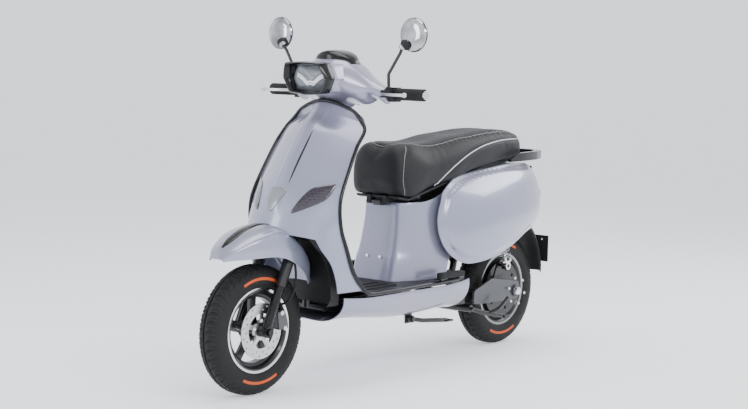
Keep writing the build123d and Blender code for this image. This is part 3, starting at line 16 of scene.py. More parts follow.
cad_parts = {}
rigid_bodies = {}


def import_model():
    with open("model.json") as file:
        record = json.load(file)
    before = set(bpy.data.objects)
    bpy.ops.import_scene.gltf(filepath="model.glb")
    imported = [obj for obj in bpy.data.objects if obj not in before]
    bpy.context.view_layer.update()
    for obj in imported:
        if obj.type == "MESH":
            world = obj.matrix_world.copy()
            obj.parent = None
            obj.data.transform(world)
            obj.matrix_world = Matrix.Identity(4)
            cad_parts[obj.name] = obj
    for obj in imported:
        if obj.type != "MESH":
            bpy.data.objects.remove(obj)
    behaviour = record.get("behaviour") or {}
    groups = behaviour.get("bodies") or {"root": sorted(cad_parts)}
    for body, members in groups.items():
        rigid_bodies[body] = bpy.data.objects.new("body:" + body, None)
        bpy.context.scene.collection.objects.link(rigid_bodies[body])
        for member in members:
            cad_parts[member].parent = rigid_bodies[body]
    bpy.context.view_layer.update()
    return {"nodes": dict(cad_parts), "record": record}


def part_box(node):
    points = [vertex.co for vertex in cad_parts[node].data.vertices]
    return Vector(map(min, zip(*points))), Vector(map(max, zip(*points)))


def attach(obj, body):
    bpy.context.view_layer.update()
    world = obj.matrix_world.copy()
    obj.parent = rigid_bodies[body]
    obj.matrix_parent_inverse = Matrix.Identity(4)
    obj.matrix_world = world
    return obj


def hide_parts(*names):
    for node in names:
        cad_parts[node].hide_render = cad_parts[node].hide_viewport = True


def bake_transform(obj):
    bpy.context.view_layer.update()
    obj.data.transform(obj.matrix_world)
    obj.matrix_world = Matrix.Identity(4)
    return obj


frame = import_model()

nodes = frame["nodes"]

# %% [markdown]
# Positions come from the frame's own boxes. The two tyres give both axles, and most of the
# bodywork is placed from the nearer axle, as a body designer would do it.

# %% Find the axles and the handlebar


def middle(node):
    low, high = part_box(node)
    return (low + high) / 2


FRONT, REAR = middle("front_tyre"), middle("rear_tyre")
F, R = FRONT.x, REAR.x
TYRE_R = FRONT.z
TYRE_HALF = (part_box("front_tyre")[1].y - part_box("front_tyre")[0].y) / 2
BAR = middle("left_grip")
BAR_X, BAR_Z = BAR.x, BAR.z
CASTER = math.radians(25)
MM = 0.001
print("wheelbase", round(F - R, 4), "tyre radius", round(TYRE_R, 4), "bar", round(BAR_X, 3))

# %% [markdown]
# A camera with a long lens, slightly above hub height and to the front left, shows the scooter
# the way a catalogue does. The floor and the world are one pale grey, so the scooter stands out
# by its own shading and a soft shadow.

# %% Camera, floor and light


def stage():
    """Camera, pale floor and soft studio lights."""
    cam = bpy.data.objects.new("camera", bpy.data.cameras.new("camera"))
    bpy.context.scene.collection.objects.link(cam)
    cam.data.lens, cam.data.sensor_width = 77.12, 36.0
    cam.data.clip_end = 400.0
    azimuth, elevation, roll = map(math.radians, (40.467, 5.718, 1.115))
    distance = 5.6717
    target = Vector((0.0755, 0.0, 0.5885))
    away = Vector((math.cos(elevation) * math.cos(azimuth), math.cos(elevation) * math.sin(azimuth),
                   math.sin(elevation)))
    turn = (-away).to_track_quat("-Z", "Y").to_matrix() @ Matrix.Rotation(roll, 3, "Z")
    cam.matrix_world = Matrix.Translation(target + away * distance) @ turn.to_4x4()
    bpy.context.scene.camera = cam

    floor_mesh = bpy.data.meshes.new("floor")
    profile = [(4.0, 0.0), (9.0, 0.0)]
    profile += [(9 + 6 * math.sin(a * math.pi / 24), 6 - 6 * math.cos(a * math.pi / 24)) for a in range(1, 13)]
    profile.append((15.0, 14.0))
    turns = 96
    points = [(r * math.cos(2 * math.pi * k / turns), r * math.sin(2 * math.pi * k / turns), z)
              for r, z in profile for k in range(turns)]
    faces = [(row * turns + k, row * turns + (k + 1) % turns, (row + 1) * turns + (k + 1) % turns,
              (row + 1) * turns + k) for row in range(len(profile) - 1) for k in range(turns)]
    faces.append(tuple(range(turns))[::-1])
    floor_mesh.from_pydata(points, [], [tuple(reversed(face)) for face in faces])
    for face in floor_mesh.polygons:
        face.use_smooth = True
    floor = bpy.data.objects.new("floor", floor_mesh)
    bpy.context.scene.collection.objects.link(floor)
    pale = bpy.data.materials.new("pale_floor")
    pale.use_nodes = True
    shader = pale.node_tree.nodes["Principled BSDF"]
    shader.inputs["Base Color"].default_value = (0.86, 0.87, 0.885, 1)
    shader.inputs["Emission Color"].default_value = (0.93, 0.955, 1.0, 1)
    shader.inputs["Emission Strength"].default_value = 0.42
    shader.inputs["Roughness"].default_value = 0.9
    shader.inputs["Specular IOR Level"].default_value = 0.0
    floor_mesh.materials.append(pale)

    world = bpy.data.worlds.new("studio")
    bpy.context.scene.world = world
    world.use_nodes = True
    sky = world.node_tree.nodes["Background"]
    sky.inputs["Color"].default_value = (0.87, 0.885, 0.905, 1)
    sky.inputs["Strength"].default_value = 0.85

    lights = [  # name, place, aim, width, height, watts, colour
        ("key", (1.4, 4.2, 3.2), (0.1, 0, 0.6), 3.4, 1.0, 110, (1.0, 0.985, 0.97)),
        ("rim", (-3.2, 1.2, 2.6), (-0.3, 0, 0.6), 2.4, 1.2, 50, (0.97, 0.98, 1.0)),
        ("fill", (4.2, -1.6, 1.8), (0.3, 0, 0.6), 1.2, 2.4, 45, (0.95, 0.97, 1.0)),
        ("top", (0.0, 0.0, 4.2), (0.0, 0, 0.0), 4.0, 2.6, 120, (1.0, 1.0, 1.0)),
    ]
    for name, place, aim, width, height, watts, colour in lights:
        data = bpy.data.lights.new(name, "AREA")
        data.shape = "RECTANGLE"
        data.size, data.size_y, data.energy, data.color = width, height, watts, colour
        lamp = bpy.data.objects.new(name, data)
        lamp.location = place
        aim_way = Vector(aim) - Vector(place)
        lamp.rotation_euler = aim_way.to_track_quat("-Z", "Y").to_euler()
        bpy.context.scene.collection.objects.link(lamp)
    print("camera at", tuple(round(v, 3) for v in cam.matrix_world.translation))


stage()

# %% [markdown]
# ## Materials
# Shader maths reads best as plain Python, so one small class wraps a socket and overloads the
# operators. Everything else goes through one method that takes a node's type, its settings and
# its inputs.

# %% A socket that does maths


class Socket:
    """One output of a node. Adding or multiplying it adds a Math node."""

    def __init__(self, paint, out):
        self.paint, self.out = paint, out

    def math(self, operation, *values):
        return self.paint.add("ShaderNodeMath", {"operation": operation}, *values)

    def __add__(self, other):
        return self.math("ADD", self, other)

    __radd__ = __add__

    def __sub__(self, other):
        return self.math("SUBTRACT", self, other)

    def __rsub__(self, other):
        return self.math("SUBTRACT", other, self)

    def __mul__(self, other):
        return self.math("MULTIPLY", self, other)

    __rmul__ = __mul__

    def __gt__(self, other):
        return self.math("GREATER_THAN", self, other)


class Paint:
    """A material that is being mixed."""

    def __init__(self, name, colour, roughness, metallic=0.0, **constants):
        self.material = bpy.data.materials.new(name)
        self.material.use_nodes = True
        self.tree = self.material.node_tree
        self.shader = self.tree.nodes["Principled BSDF"]
        self.set("Base Color", (*colour, 1.0))
        self.set("Roughness", roughness)
        self.set("Metallic", metallic)
        for key, value in constants.items():
            self.set(key.replace("_", " "), value)
        self.material.diffuse_color = (*colour, 1.0)

    def add(self, kind, settings, *values, out=0, **named):
        """A node with its settings made first, then its inputs, by order or by name."""
        node = self.tree.nodes.new(kind)
        for key, value in settings.items():
            setattr(node, key, value)
        for key, value in list(enumerate(values)) + [(k.replace("_", " "), v) for k, v in named.items()]:
            if isinstance(value, Socket):
                self.tree.links.new(value.out, node.inputs[key])
            elif value is not None:
                node.inputs[key].default_value = value
        return Socket(self, node.outputs[out])

    def set(self, name, value):
        if isinstance(value, Socket):
            self.tree.links.new(value.out, self.shader.inputs[name])
        else:
            self.shader.inputs[name].default_value = value

    def place(self):
        """Object coordinates: metres in the scooter's own frame."""
        return self.add("ShaderNodeTexCoord", {}, out=3)

    def noise(self, scale, detail=3.0, vector=None):
        return self.add("ShaderNodeTexNoise", {}, Vector=vector or self.place(), Scale=scale,
                        Detail=detail)

    def mix(self, factor, a, b):
        return self.add("ShaderNodeMix", {"data_type": "RGBA"}, factor, None, None, None, None, None,
                        a, b, out=2)

    def bump(self, height, strength, distance):
        self.set("Normal", self.add("ShaderNodeBump", {}, Strength=strength, Distance=distance,
                                    Height=height))
        return self


print("shader helpers ready")

# %% [markdown]
# The bodywork is sprayed with a pearl: a pale blue-grey base with fine mica flakes under a thick
# clear coat. A plain glossy colour looks like toy plastic, so very fine noise lights single
# flakes, and slow noise drifts the tint between blue and pink in patches. The pink patches are
# painted reflections: they stand in for the pearl's colour shift, which comes from the light.

# %% Pearl paint


def pearl_paint():
    p = Paint("pearl_paint", (0.27, 0.29, 0.37), 0.30, 0.45, Coat_Weight=1.0, Coat_Roughness=0.04,
              Specular_Tint=(1.0, 0.90, 0.94, 1.0))
    # Painted reflection: slow noise paints pink patches into the base colour, standing in for the pearl's pink shift
    # with the angle of the light.
    pink_reflection_drift = p.noise(2.3, 1.0)
    tint = p.mix(pink_reflection_drift, (0.235, 0.285, 0.385, 1), (0.340, 0.300, 0.400, 1))
    flake = p.noise(2600.0, 1.0) > 0.62
    p.set("Base Color", p.mix(flake * 0.25, tint, (0.56, 0.54, 0.66, 1)))
    p.set("Roughness", 0.27 + p.noise(40.0, 2.0) * 0.06)
    return p.bump(p.noise(9.0, 2.0), 0.03, 0.002).material


PEARL = pearl_paint()
print(PEARL.name)

# %% [markdown]
# Black parts are never one black. Trim is glossy, covers are finely textured, rubber is dull and
# slightly dusty, and vinyl has a grain of small cells. Each gets its own bump at its own scale.

# %% Blacks and rubbers


def gloss_black():
    p = Paint("gloss_black", (0.004, 0.004, 0.005), 0.16, 0.0, Coat_Weight=0.15, Coat_Roughness=0.05,
              Specular_IOR_Level=0.28)
    p.set("Roughness", 0.12 + p.noise(60.0, 3.0) * 0.10)
    return p.bump(p.noise(30.0, 2.0), 0.04, 0.001).material


def textured_black():
    p = Paint("textured_black", (0.018, 0.018, 0.020), 0.5, Specular_IOR_Level=0.3)
    grain = p.add("ShaderNodeTexVoronoi", {}, Vector=p.place(), Scale=900.0)
    p.set("Base Color", p.mix(p.noise(14.0), (0.007, 0.007, 0.008, 1), (0.014, 0.014, 0.016, 1)))
    p.set("Roughness", 0.42 + p.noise(120.0, 2.0) * 0.2)
    return p.bump(grain, 0.25, 0.0004).material


def painted_steel():
    p = Paint("painted_steel", (0.008, 0.008, 0.009), 0.3, 0.0, Coat_Weight=0.3, Specular_IOR_Level=0.4)
    p.set("Roughness", 0.24 + p.noise(90.0, 3.0) * 0.22)
    return p.bump(p.noise(260.0, 2.0), 0.08, 0.0006).material


def grip_rubber():
    p = Paint("grip_rubber", (0.009, 0.009, 0.010), 0.6, Specular_IOR_Level=0.3)
    p.set("Roughness", 0.5 + p.noise(200.0, 2.0) * 0.25)
    return p.bump(p.add("ShaderNodeTexVoronoi", {}, Vector=p.place(), Scale=500.0), 0.3, 0.0006).material


def seat_vinyl(name, cell, depth):
    p = Paint(name, (0.010, 0.010, 0.011), 0.48, 0.0, Specular_IOR_Level=0.32)
    cells = p.add("ShaderNodeTexVoronoi", {"feature": "DISTANCE_TO_EDGE"}, Vector=p.place(),
                  Scale=cell)
    wear = p.noise(5.0, 3.0)
    p.set("Base Color", p.mix(wear, (0.006, 0.006, 0.007, 1), (0.013, 0.013, 0.014, 1)))
    p.set("Roughness", 0.40 + p.noise(160.0, 2.0) * 0.22)
    return p.bump(cells + p.noise(900.0, 2.0) * 0.15, depth, 0.0009).material


GLOSS_BLACK, TEXTURED_BLACK, PAINTED_STEEL = gloss_black(), textured_black(), painted_steel()
GRIP_RUBBER = grip_rubber()
VINYL = seat_vinyl("seat_vinyl", 420.0, 0.45)
PERFORATED = seat_vinyl("embossed_vinyl", 150.0, 0.9)
print("blacks:", [m.name for m in (GLOSS_BLACK, TEXTURED_BLACK, PAINTED_STEEL, VINYL)])

# %% [markdown]
# Metals differ by how they were worked. Chrome is nearly a mirror, a lever is die-cast and
# satin, and a brake disc is turned, so its fine rings follow its centre. The rings are noise that
# is read along the radius only.

# %% Metals


def chrome():
    p = Paint("chrome", (0.78, 0.79, 0.80), 0.06, 1.0)
    p.set("Roughness", 0.04 + p.noise(35.0, 3.0) * 0.07)
    return p.material


def chrome_with_painted_reflection():
    """Polished shells with a painted reflection of a dark floor: broad soft bands of light and dark in the colour.
    """
    p = Paint("chrome_with_painted_reflection", (0.45, 0.46, 0.48), 0.08, 1.0)
    # Painted reflection: noise paints broad light and dark bands into the base colour.
    band = p.noise(14.0, 2.0)
    p.set("Base Color", p.mix(band * band * 1.6, (0.12, 0.12, 0.13, 1), (0.80, 0.81, 0.83, 1)))
    return p.material


def cast_aluminium():
    p = Paint("cast_aluminium", (0.60, 0.61, 0.62), 0.3, 1.0)
    p.set("Roughness", 0.22 + p.noise(140.0, 3.0) * 0.22)
    return p.bump(p.noise(700.0, 2.0), 0.10, 0.0004).material


def turned_steel(name, centre, colour, rough):
    """Fine rings round an axis along Y through centre."""
    p = Paint(name, colour, rough, 1.0)
    off = p.add("ShaderNodeVectorMath", {"operation": "SUBTRACT"}, p.place(), tuple(centre))
    flat = p.add("ShaderNodeVectorMath", {"operation": "MULTIPLY"}, off, (1.0, 0.0, 1.0))
    radius = p.add("ShaderNodeVectorMath", {"operation": "LENGTH"}, flat, out=1)
    line = p.add("ShaderNodeCombineXYZ", {}, radius, 0.0, 0.0)
    rings = p.noise(1600.0, 2.0, line)
    p.set("Roughness", (rough - 0.08) + rings * 0.2)
    return p.bump(rings, 0.18, 0.0003).material


def satin_silver():
    p = Paint("satin_silver", (0.27, 0.28, 0.30), 0.32, 0.7, Coat_Weight=0.3)
    p.set("Roughness", 0.26 + p.noise(50.0, 2.0) * 0.12)
    return p.bump(p.noise(1200.0, 1.0), 0.05, 0.0003).material


def satin_graphite():
    p = Paint("satin_graphite", (0.075, 0.078, 0.085), 0.36, 0.5, Coat_Weight=0.25)
    p.set("Roughness", 0.30 + p.noise(70.0, 3.0) * 0.14)
    return p.bump(p.noise(800.0, 2.0), 0.12, 0.0004).material


CHROME, PAINTED_REFLECTION_CHROME, ALUMINIUM = chrome(), chrome_with_painted_reflection(), cast_aluminium()
DISC_STEEL = turned_steel("turned_disc", FRONT, (0.56, 0.56, 0.57), 0.30)
LIP_FRONT = turned_steel("polished_lip", FRONT, (0.72, 0.72, 0.73), 0.16)
LIP_REAR = turned_steel("polished_lip_rear", REAR, (0.30, 0.30, 0.31), 0.24)
SILVER, GRAPHITE = satin_silver(), satin_graphite()
print("metals ready")

# %% [markdown]
# Lenses are clear or smoked plastic. The clear one refracts, so the reflector behind it shows.
# The smoked ones hide their lamps, and a moulded diamond pattern breaks up what they reflect.

# %% Lenses and lamps


def clear_lens():
    p = Paint("clear_lens", (0.95, 0.96, 0.98), 0.03, 0.0, Transmission_Weight=1.0, IOR=1.2)
    p.set("Roughness", 0.02 + p.noise(30.0, 2.0) * 0.02)
    return p.material


def smoked_lens():
    p = Paint("smoked_lens", (0.03, 0.018, 0.035), 0.12, 0.0, Coat_Weight=1.0, Coat_Roughness=0.03)
    cells = p.add("ShaderNodeTexVoronoi", {"distance": "MANHATTAN"}, Vector=p.place(), Scale=110.0,
                  Randomness=0.25)
    p.set("Base Color", p.mix(cells, (0.030, 0.020, 0.038, 1), (0.014, 0.010, 0.018, 1)))
    return p.bump(cells, 0.35, 0.0015).material


def lamp_white():
    p = Paint("lamp_white", (0.9, 0.92, 0.95), 0.4, 0.0, Emission_Strength=0.7)
    glow = p.noise(60.0, 1.0)
    p.set("Emission Color", p.mix(glow, (0.80, 0.86, 0.95, 1), (1, 1, 1, 1)))
    return p.material


def mirror_glass():
    p = Paint("mirror_glass", (0.86, 0.88, 0.90), 0.02, 1.0)
    p.set("Roughness", 0.01 + p.noise(12.0, 2.0) * 0.015)
    return p.material


CLEAR, SMOKED, LAMP, MIRROR = clear_lens(), smoked_lens(), lamp_white(), mirror_glass()
print("lenses ready")

# %% [markdown]
# ## From machined parts to finished ones
# Most parts of the frame already have their real shape, but their mesh is loose triangles, so
# each facet shows. A copy with its doubles merged can be shaded smooth, with every edge over
# 30 degrees kept crisp. That is right for metal and moulded parts, and costs no detail.

# %% Merge and smooth a part


def own_body(node):
    bodies = frame["record"]["behaviour"]["bodies"]
    return next(name for name, held in bodies.items() if node in held)


def merged(node):
    """A welded copy of a part's mesh, as a bmesh."""
    bm = bmesh.new()
    bm.from_mesh(nodes[node].data)
    bm.transform(nodes[node].matrix_world)
    bmesh.ops.remove_doubles(bm, verts=bm.verts, dist=0.00002)
    return bm


def shade(mesh, degrees=30.0):
    """Smooth faces with sharp edges over an angle."""
    bm = bmesh.new()
    bm.from_mesh(mesh)
    for face in bm.faces:
        face.smooth = True
    for edge in bm.edges:
        wide = len(edge.link_faces) == 2 and edge.calc_face_angle(0.0) > math.radians(degrees)
        edge.smooth = not wide
    bm.to_mesh(mesh)
    bm.free()


SLOT = {
    "pearl_paint": "body_paint", "gloss_black": "black_trim", "textured_black": "black_plastic",
    "painted_steel": "frame_black", "grip_rubber": "rubber", "seat_vinyl": "seat_vinyl",
    "chrome": "chrome", "chrome_with_painted_reflection": "chrome", "cast_aluminium": "aluminium",
    "turned_disc": "steel", "polished_lip": "aluminium", "polished_lip_rear": "aluminium",
    "satin_silver": "silver_trim", "satin_graphite": "frame_black", "clear_lens": "clear_lens",
    "smoked_lens": "smoked_lens",
    "front_tyre_rubber": "tyre", "rear_tyre_rubber": "tyre"}


def piece(name, mesh, material, body, *covers):
    """A finished piece: its mesh, its material, the body it rides on and the parts it stands for."""
    obj = bpy.data.objects.new(name, mesh)
    bpy.context.scene.collection.objects.link(obj)
    if material:
        mesh.materials.clear()
        mesh.materials.append(material)
    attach(obj, body)
    if covers:
        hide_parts(*covers)
    for finish in mesh.materials:
        if finish and finish.name in SLOT:
            break
    return obj


def refine(node, material, degrees=30.0):
    bm = merged(node)
    mesh = bpy.data.meshes.new(node + "_finished")
    bm.to_mesh(mesh)
    bm.free()
    shade(mesh, degrees)
    return piece(node + "_finished", mesh, material, own_body(node), node)


# %% [markdown]
# ## Body panels
# The painted panels are thin plastic mouldings with flowing faces. A straight loft between
# sections shows flats in a glossy coat, so each panel is redrawn here as a grid of smooth lines
# through the same sections: first along each section, then from section to section. A wall, a
# cut-out and a softened edge are added afterwards, in the order a mould maker would think of them.

# %% Smooth lines and grids


def smooth_line(points, count):
    """A line of count points through the given ones, evenly spaced, curving smoothly."""
    points = [Vector(p) for p in points]
    ends = [2 * points[0] - points[1]] + points + [2 * points[-1] - points[-2]]
    fine = []
    steps = 12
    for a, b, c, d in zip(ends, ends[1:], ends[2:], ends[3:]):
        for k in range(steps):
            t = k / steps
            fine.append(((2 * b) + (c - a) * t + (2 * a - 5 * b + 4 * c - d) * t * t
                         + (3 * b - a - 3 * c + d) * t ** 3) / 2)
    fine.append(points[-1])
    reach = np.concatenate([[0], np.cumsum([(q - p).length for p, q in zip(fine, fine[1:])])])
    places = np.linspace(0, reach[-1], count)
    table = np.array(fine)
    return [Vector([np.interp(s, reach, table[:, axis]) for axis in range(3)]) for s in places]


def surface(rows, across, along):
    """A grid of points: smooth along each row, then smooth from row to row."""
    lines = [smooth_line(row, across) for row in rows]
    columns = [smooth_line([line[k] for line in lines], along) for k in range(across)]
    return [[columns[k][j] for k in range(across)] for j in range(along)]


def grid_mesh(name, grid, closed=False):
    mesh = bpy.data.meshes.new(name)
    wide = len(grid[0])
    points = [tuple(p) for row in grid for p in row]
    last = wide if closed else wide - 1
    faces = [(j * wide + k, j * wide + (k + 1) % wide, (j + 1) * wide + (k + 1) % wide, (j + 1) * wide + k)
             for j in range(len(grid) - 1) for k in range(last)]
    mesh.from_pydata(points, [], faces)
    return mesh


def mirrored(row):
    """A half section that starts on the middle plane, made whole."""
    return [(x, -y, z) for x, y, z in reversed(row[1:])] + list(row)


def prism(name, outline, y0, y1):
    """A closed block over an outline of (x, z) points, used to cut panels."""
    mesh = bpy.data.meshes.new(name)
    count = len(outline)
    points = [(x, y, z) for y in (y0, y1) for x, z in outline]
    sides = [(k, (k + 1) % count, (k + 1) % count + count, k + count) for k in range(count)]
    mesh.from_pydata(points, [], sides + [tuple(range(count))[::-1], tuple(range(count, 2 * count))])
    return recalculated(mesh)


def recalculated(mesh):
    bm = bmesh.new()
    bm.from_mesh(mesh)
    bmesh.ops.remove_doubles(bm, verts=bm.verts, dist=0.00002)
    bmesh.ops.recalc_face_normals(bm, faces=bm.faces)
    bm.to_mesh(mesh)
    bm.free()
    return mesh


def face_out(mesh, centre):
    """Turns an open sheet so that its faces look away from a point."""
    total = sum((face.center - Vector(centre)).dot(face.normal) * face.area for face in mesh.polygons)
    if total < 0:
        mesh.flip_normals()
    return mesh


def built(obj):
    """The plain mesh that an object's modifiers make."""
    graph = bpy.context.evaluated_depsgraph_get()
    mesh = bpy.data.meshes.new_from_object(obj.evaluated_get(graph))
    bpy.data.objects.remove(obj)
    return mesh


def moulded(mesh, wall, cutters=(), keepers=(), edge=0.0009):
    """A sheet with a wall behind it, its cut-outs made and its edges softened."""
    scratch = bpy.data.objects.new("scratch", mesh)
    bpy.context.scene.collection.objects.link(scratch)
    solid = scratch.modifiers.new("wall", "SOLIDIFY")
    solid.thickness, solid.offset, solid.use_even_offset = wall, -1.0, True
    tools = []
    for block, operation in [(c, "DIFFERENCE") for c in cutters] + [(k, "INTERSECT") for k in keepers]:
        tool = bpy.data.objects.new("tool", block)
        bpy.context.scene.collection.objects.link(tool)
        tools.append(tool)
        cut = scratch.modifiers.new("cut", "BOOLEAN")
        cut.operation, cut.object, cut.solver = operation, tool, "EXACT"
    if edge:
        soft = scratch.modifiers.new("edge", "BEVEL")
        soft.width, soft.segments, soft.limit_method = edge, 2, "ANGLE"
        soft.angle_limit = math.radians(50)
    mesh = built(scratch)
    for tool in tools:
        bpy.data.objects.remove(tool)
    shade(mesh, 38)
    return mesh


def tube(name, points, radius, sides=12, smooth_steps=None, closed=False, flat=1.0):
    """A round bar along points; its ends are closed with flat caps."""
    line = smooth_line(points, smooth_steps) if smooth_steps else [Vector(p) for p in points]
    bm = bmesh.new()
    rings, up = [], Vector((0, 0, 1))
    count = len(line)
    for k, p in enumerate(line):
        before, after = line[k - 1 if k or closed else 0], line[(k + 1) % count if closed else min(k + 1, count - 1)]
        way = (after - before).normalized()
        side = way.cross(up)
        if side.length < 0.05:
            side = way.cross(Vector((1, 0, 0)))
        side.normalize()
        if rings and side.dot(last_side) < 0:
            side = -side
        last_side = side
        lift = side.cross(way)
        grow = radius(k / (count - 1)) if callable(radius) else radius
        rings.append([bm.verts.new(p + side * (math.cos(a) * grow) + lift * (math.sin(a) * grow * flat))
                      for a in (2 * math.pi * i / sides for i in range(sides))])
    pairs = list(zip(rings, rings[1:])) + ([(rings[-1], rings[0])] if closed else [])
    for a, b in pairs:
        for i in range(sides):
            bm.faces.new((a[i], a[(i + 1) % sides], b[(i + 1) % sides], b[i]))
    if not closed:
        bm.faces.new(rings[0])
        bm.faces.new(rings[-1])
    bmesh.ops.recalc_face_normals(bm, faces=bm.faces)
    mesh = bpy.data.meshes.new(name)
    bm.to_mesh(mesh)
    bm.free()
    shade(mesh, 40)
    return mesh


def lathe(name, centre, profile, turns=96):
    """A ring or cap round an axis along Y; the profile lists (radius, y)."""
    grid = [[(centre.x + r * math.cos(a), y, centre.z + r * math.sin(a))
             for a in (2 * math.pi * k / turns for k in range(turns))] for r, y in profile]
    mesh = recalculated(grid_mesh(name, grid, closed=True))
    shade(mesh, 30)
    return mesh


def joined(name, meshes):
    """Several meshes as one, each keeping its own material."""
    bm = bmesh.new()
    materials = []
    for mesh in meshes:
        first = len(bm.faces)
        bm.from_mesh(mesh)
        bm.faces.ensure_lookup_table()
        material = mesh.materials[0] if mesh.materials else None
        if material not in materials:
            materials.append(material)
        for face in bm.faces[first:]:
            face.material_index = materials.index(material)
    out = bpy.data.meshes.new(name)
    bm.to_mesh(out)
    bm.free()
    for material in materials:
        if material:
            out.materials.append(material)
    return out


print("panel tools ready")

# %% [markdown]
# The leg shield is the face of the scooter. Its sections run from the neck down to the floor: a
# narrow crown, a broad middle and two cheeks that wrap round the front wheel. The opening for the
# wheel is cut last, with one smooth outline, so its edge has no steps.

# %% Leg shield
APRON_TOP = [[(-327, 0, 957), (-338, 58, 947), (-350, 115, 926)],
             [(-293, 0, 915), (-320, 74, 908), (-352, 146, 894)]]
APRON_ROWS = [  # height, centre x, then (x, y) outward; x from the front axle, all in millimetres
    (868, -251, (-283, 90), (-341, 174)), (816, -214, (-245, 95), (-300, 179)),
    (746, -165, (-199, 100), (-256, 186)), (663, -113, (-146, 105), (-212, 193)),
    (573, -70, (-110, 118), (-194, 205)), (483, -45, (-100, 140), (-226, 205)),
    (399, -45, (-120, 158), (-264, 205)), (334, -45, (-140, 168), (-318, 205))]
WELL_EDGE = [(-60, 520), (-131, 515), (-147, 479), (-177, 436), (-194, 394), (-204, 353),
             (-205, 312), (-186, 280)]
TIE_HALF = 0.034
TIE_LIFT = 0.0045


def apron_rows():
    rows = [mirrored([(F + x * MM, y * MM, z * MM) for x, y, z in half]) for half in APRON_TOP]
    for z, centre, inner, outer in APRON_ROWS:
        half = [(F + centre * MM, 0.0, z * MM)]
        half += [(F + x * MM, y * MM, z * MM) for x, y in (inner, outer)]
        rows.append(mirrored(half))
    return rows


def raise_tie(grid):
    """A flat raised band down the middle, with a crisp edge, narrower at the horn cover."""
    for row in grid:
        for k, p in enumerate(row):
            share = min(max((0.885 - p.z) / 0.30, 0), 1)
            half = TIE_HALF * (1 - 0.35 * share)
            edge = min(max((half + 0.006 - abs(p.y)) / 0.006, 0), 1)
            fade = min(max((p.z - 0.60) / 0.03, 0), 1) * min(max((0.952 - p.z) / 0.05, 0), 1)
            row[k] = p + Vector((TIE_LIFT * edge * edge * (3 - 2 * edge) * fade, 0, 0))
    return grid


def wheel_well():
    """The block that opens the shield over the wheel."""
    back = smooth_line([(F + x * MM, 0, z * MM) for x, z in WELL_EDGE[1:]], 24)
    outline = [(F + 0.2, 0.645), (F - 0.02, 0.545)] + [(p.x, p.z) for p in back] + [(F + 0.2, 0.25)]
    return prism("well", outline, -0.3, 0.3)


apron_grid = raise_tie(surface(apron_rows(), 97, 110))
apron_mesh = moulded(face_out(grid_mesh("apron", apron_grid), (F - 0.4, 0, 0.7)), 0.003, [wheel_well()])
APRON = piece("leg_shield", apron_mesh, PEARL, "chassis", "front_apron")
print("leg shield faces", len(apron_mesh.polygons))

# %% [markdown]
# A black extrusion is pushed over the shield's edge all the way round, from one side of the floor
# to the other. It is a plain tube on one smooth path, which hides the joint of the two skins.

# %% Edge trim
TRIM_PATH = [(-329, 0, 962), (-334, 34, 958), (-341, 66, 950), (-352, 120, 928), (-354, 152, 899),
             (-342, 179, 866), (-300, 184.6, 816), (-256, 191.6, 745), (-211, 199, 663), (-196, 205, 610),
             (-200, 210, 545), (-226, 211, 483), (-264, 211, 399), (-309, 211, 346), (-345, 211, 322)]
TRIM_END = (R + 0.480, 0.2106, 0.326)
TRIM_R = 0.0062

half_trim = [(F + x * MM, y * MM, z * MM) for x, y, z in TRIM_PATH]
half_trim += [(F - 0.42, 0.2108, 0.318), (R + 0.62, 0.2108, 0.321), TRIM_END]
trim_line = mirrored(half_trim)
TRIM = piece("shield_trim", tube("shield_trim", trim_line, TRIM_R, 14, 320), GLOSS_BLACK, "chassis",
             "edge_trim")
print("trim length", round(sum((Vector(b) - Vector(a)).length for a, b in zip(trim_line, trim_line[1:])), 2))

# %% [markdown]
# The front fender turns with the fork. Its sections fan out round the axle, and each has a
# shoulder, so a soft crease runs from the beak to the rear corner as it does in pressed panels.

# %% Front fender
FENDER_ROWS = [(56, 299, 30, 288), (62, 309, 52, 275), (68, 316, 68, 263), (80, 331, 90, 251),
               (92, 344, 97, 247), (102, 346, 98, 245), (112, 334, 98, 242), (122, 318, 94, 240),
               (134, 299, 80, 243), (148, 272, 54, 252)]
FENDER_WALL = 0.0028


def fender_row(angle, top, half, edge, lift=0.0):
    """One section round the front axle: top, shoulder and edge."""
    turn = math.radians(angle)

    def at(radius, y):
        return (FRONT.x + (radius * MM + lift) * math.cos(turn), y * MM,
                FRONT.z + (radius * MM + lift) * math.sin(turn))

    shoulder = edge + 0.8 * (top - edge)
    return mirrored([at(top, 0), at(top - 0.03 * (top - edge), 0.45 * half), at(shoulder, 0.88 * half),
                     at(edge + 0.45 * (top - edge), 0.99 * half), at(edge, half)])


fender_grid = surface([fender_row(*row) for row in FENDER_ROWS], 81, 100)
fender_mesh = moulded(face_out(grid_mesh("fender", fender_grid), tuple(FRONT)), FENDER_WALL)
piece("front_fender_skin", fender_mesh, PEARL, "steering", "front_fender")

crest_rows = [mirrored([(FRONT.x + (top * MM + 0.0035 - drop) * math.cos(math.radians(a)), y,
                         FRONT.z + (top * MM + 0.0035 - drop) * math.sin(math.radians(a)))
                        for y, drop in ((0, 0), (half * 0.6, 0.0006), (half, 0.0045))])
              for a, top, half in [(64, 312, 0.004), (68, 317, 0.013), (74, 324, 0.019), (82, 334, 0.020),
                                   (92, 344.5, 0.018), (102, 346.5, 0.015), (108, 341, 0.012)]]
crest_mesh = moulded(face_out(grid_mesh("crest", surface(crest_rows, 21, 50)), tuple(FRONT)), 0.002)
piece("fender_crest_strip", crest_mesh, GLOSS_BLACK, "steering", "fender_crest")
print("fender faces", len(fender_mesh.polygons))

# %% [markdown]
# Under the seat the bodywork is one moulding that starts as a narrow pillar behind the rider's
# feet and widens into the sides. Here it runs back under the side cowls, so no gap shows.

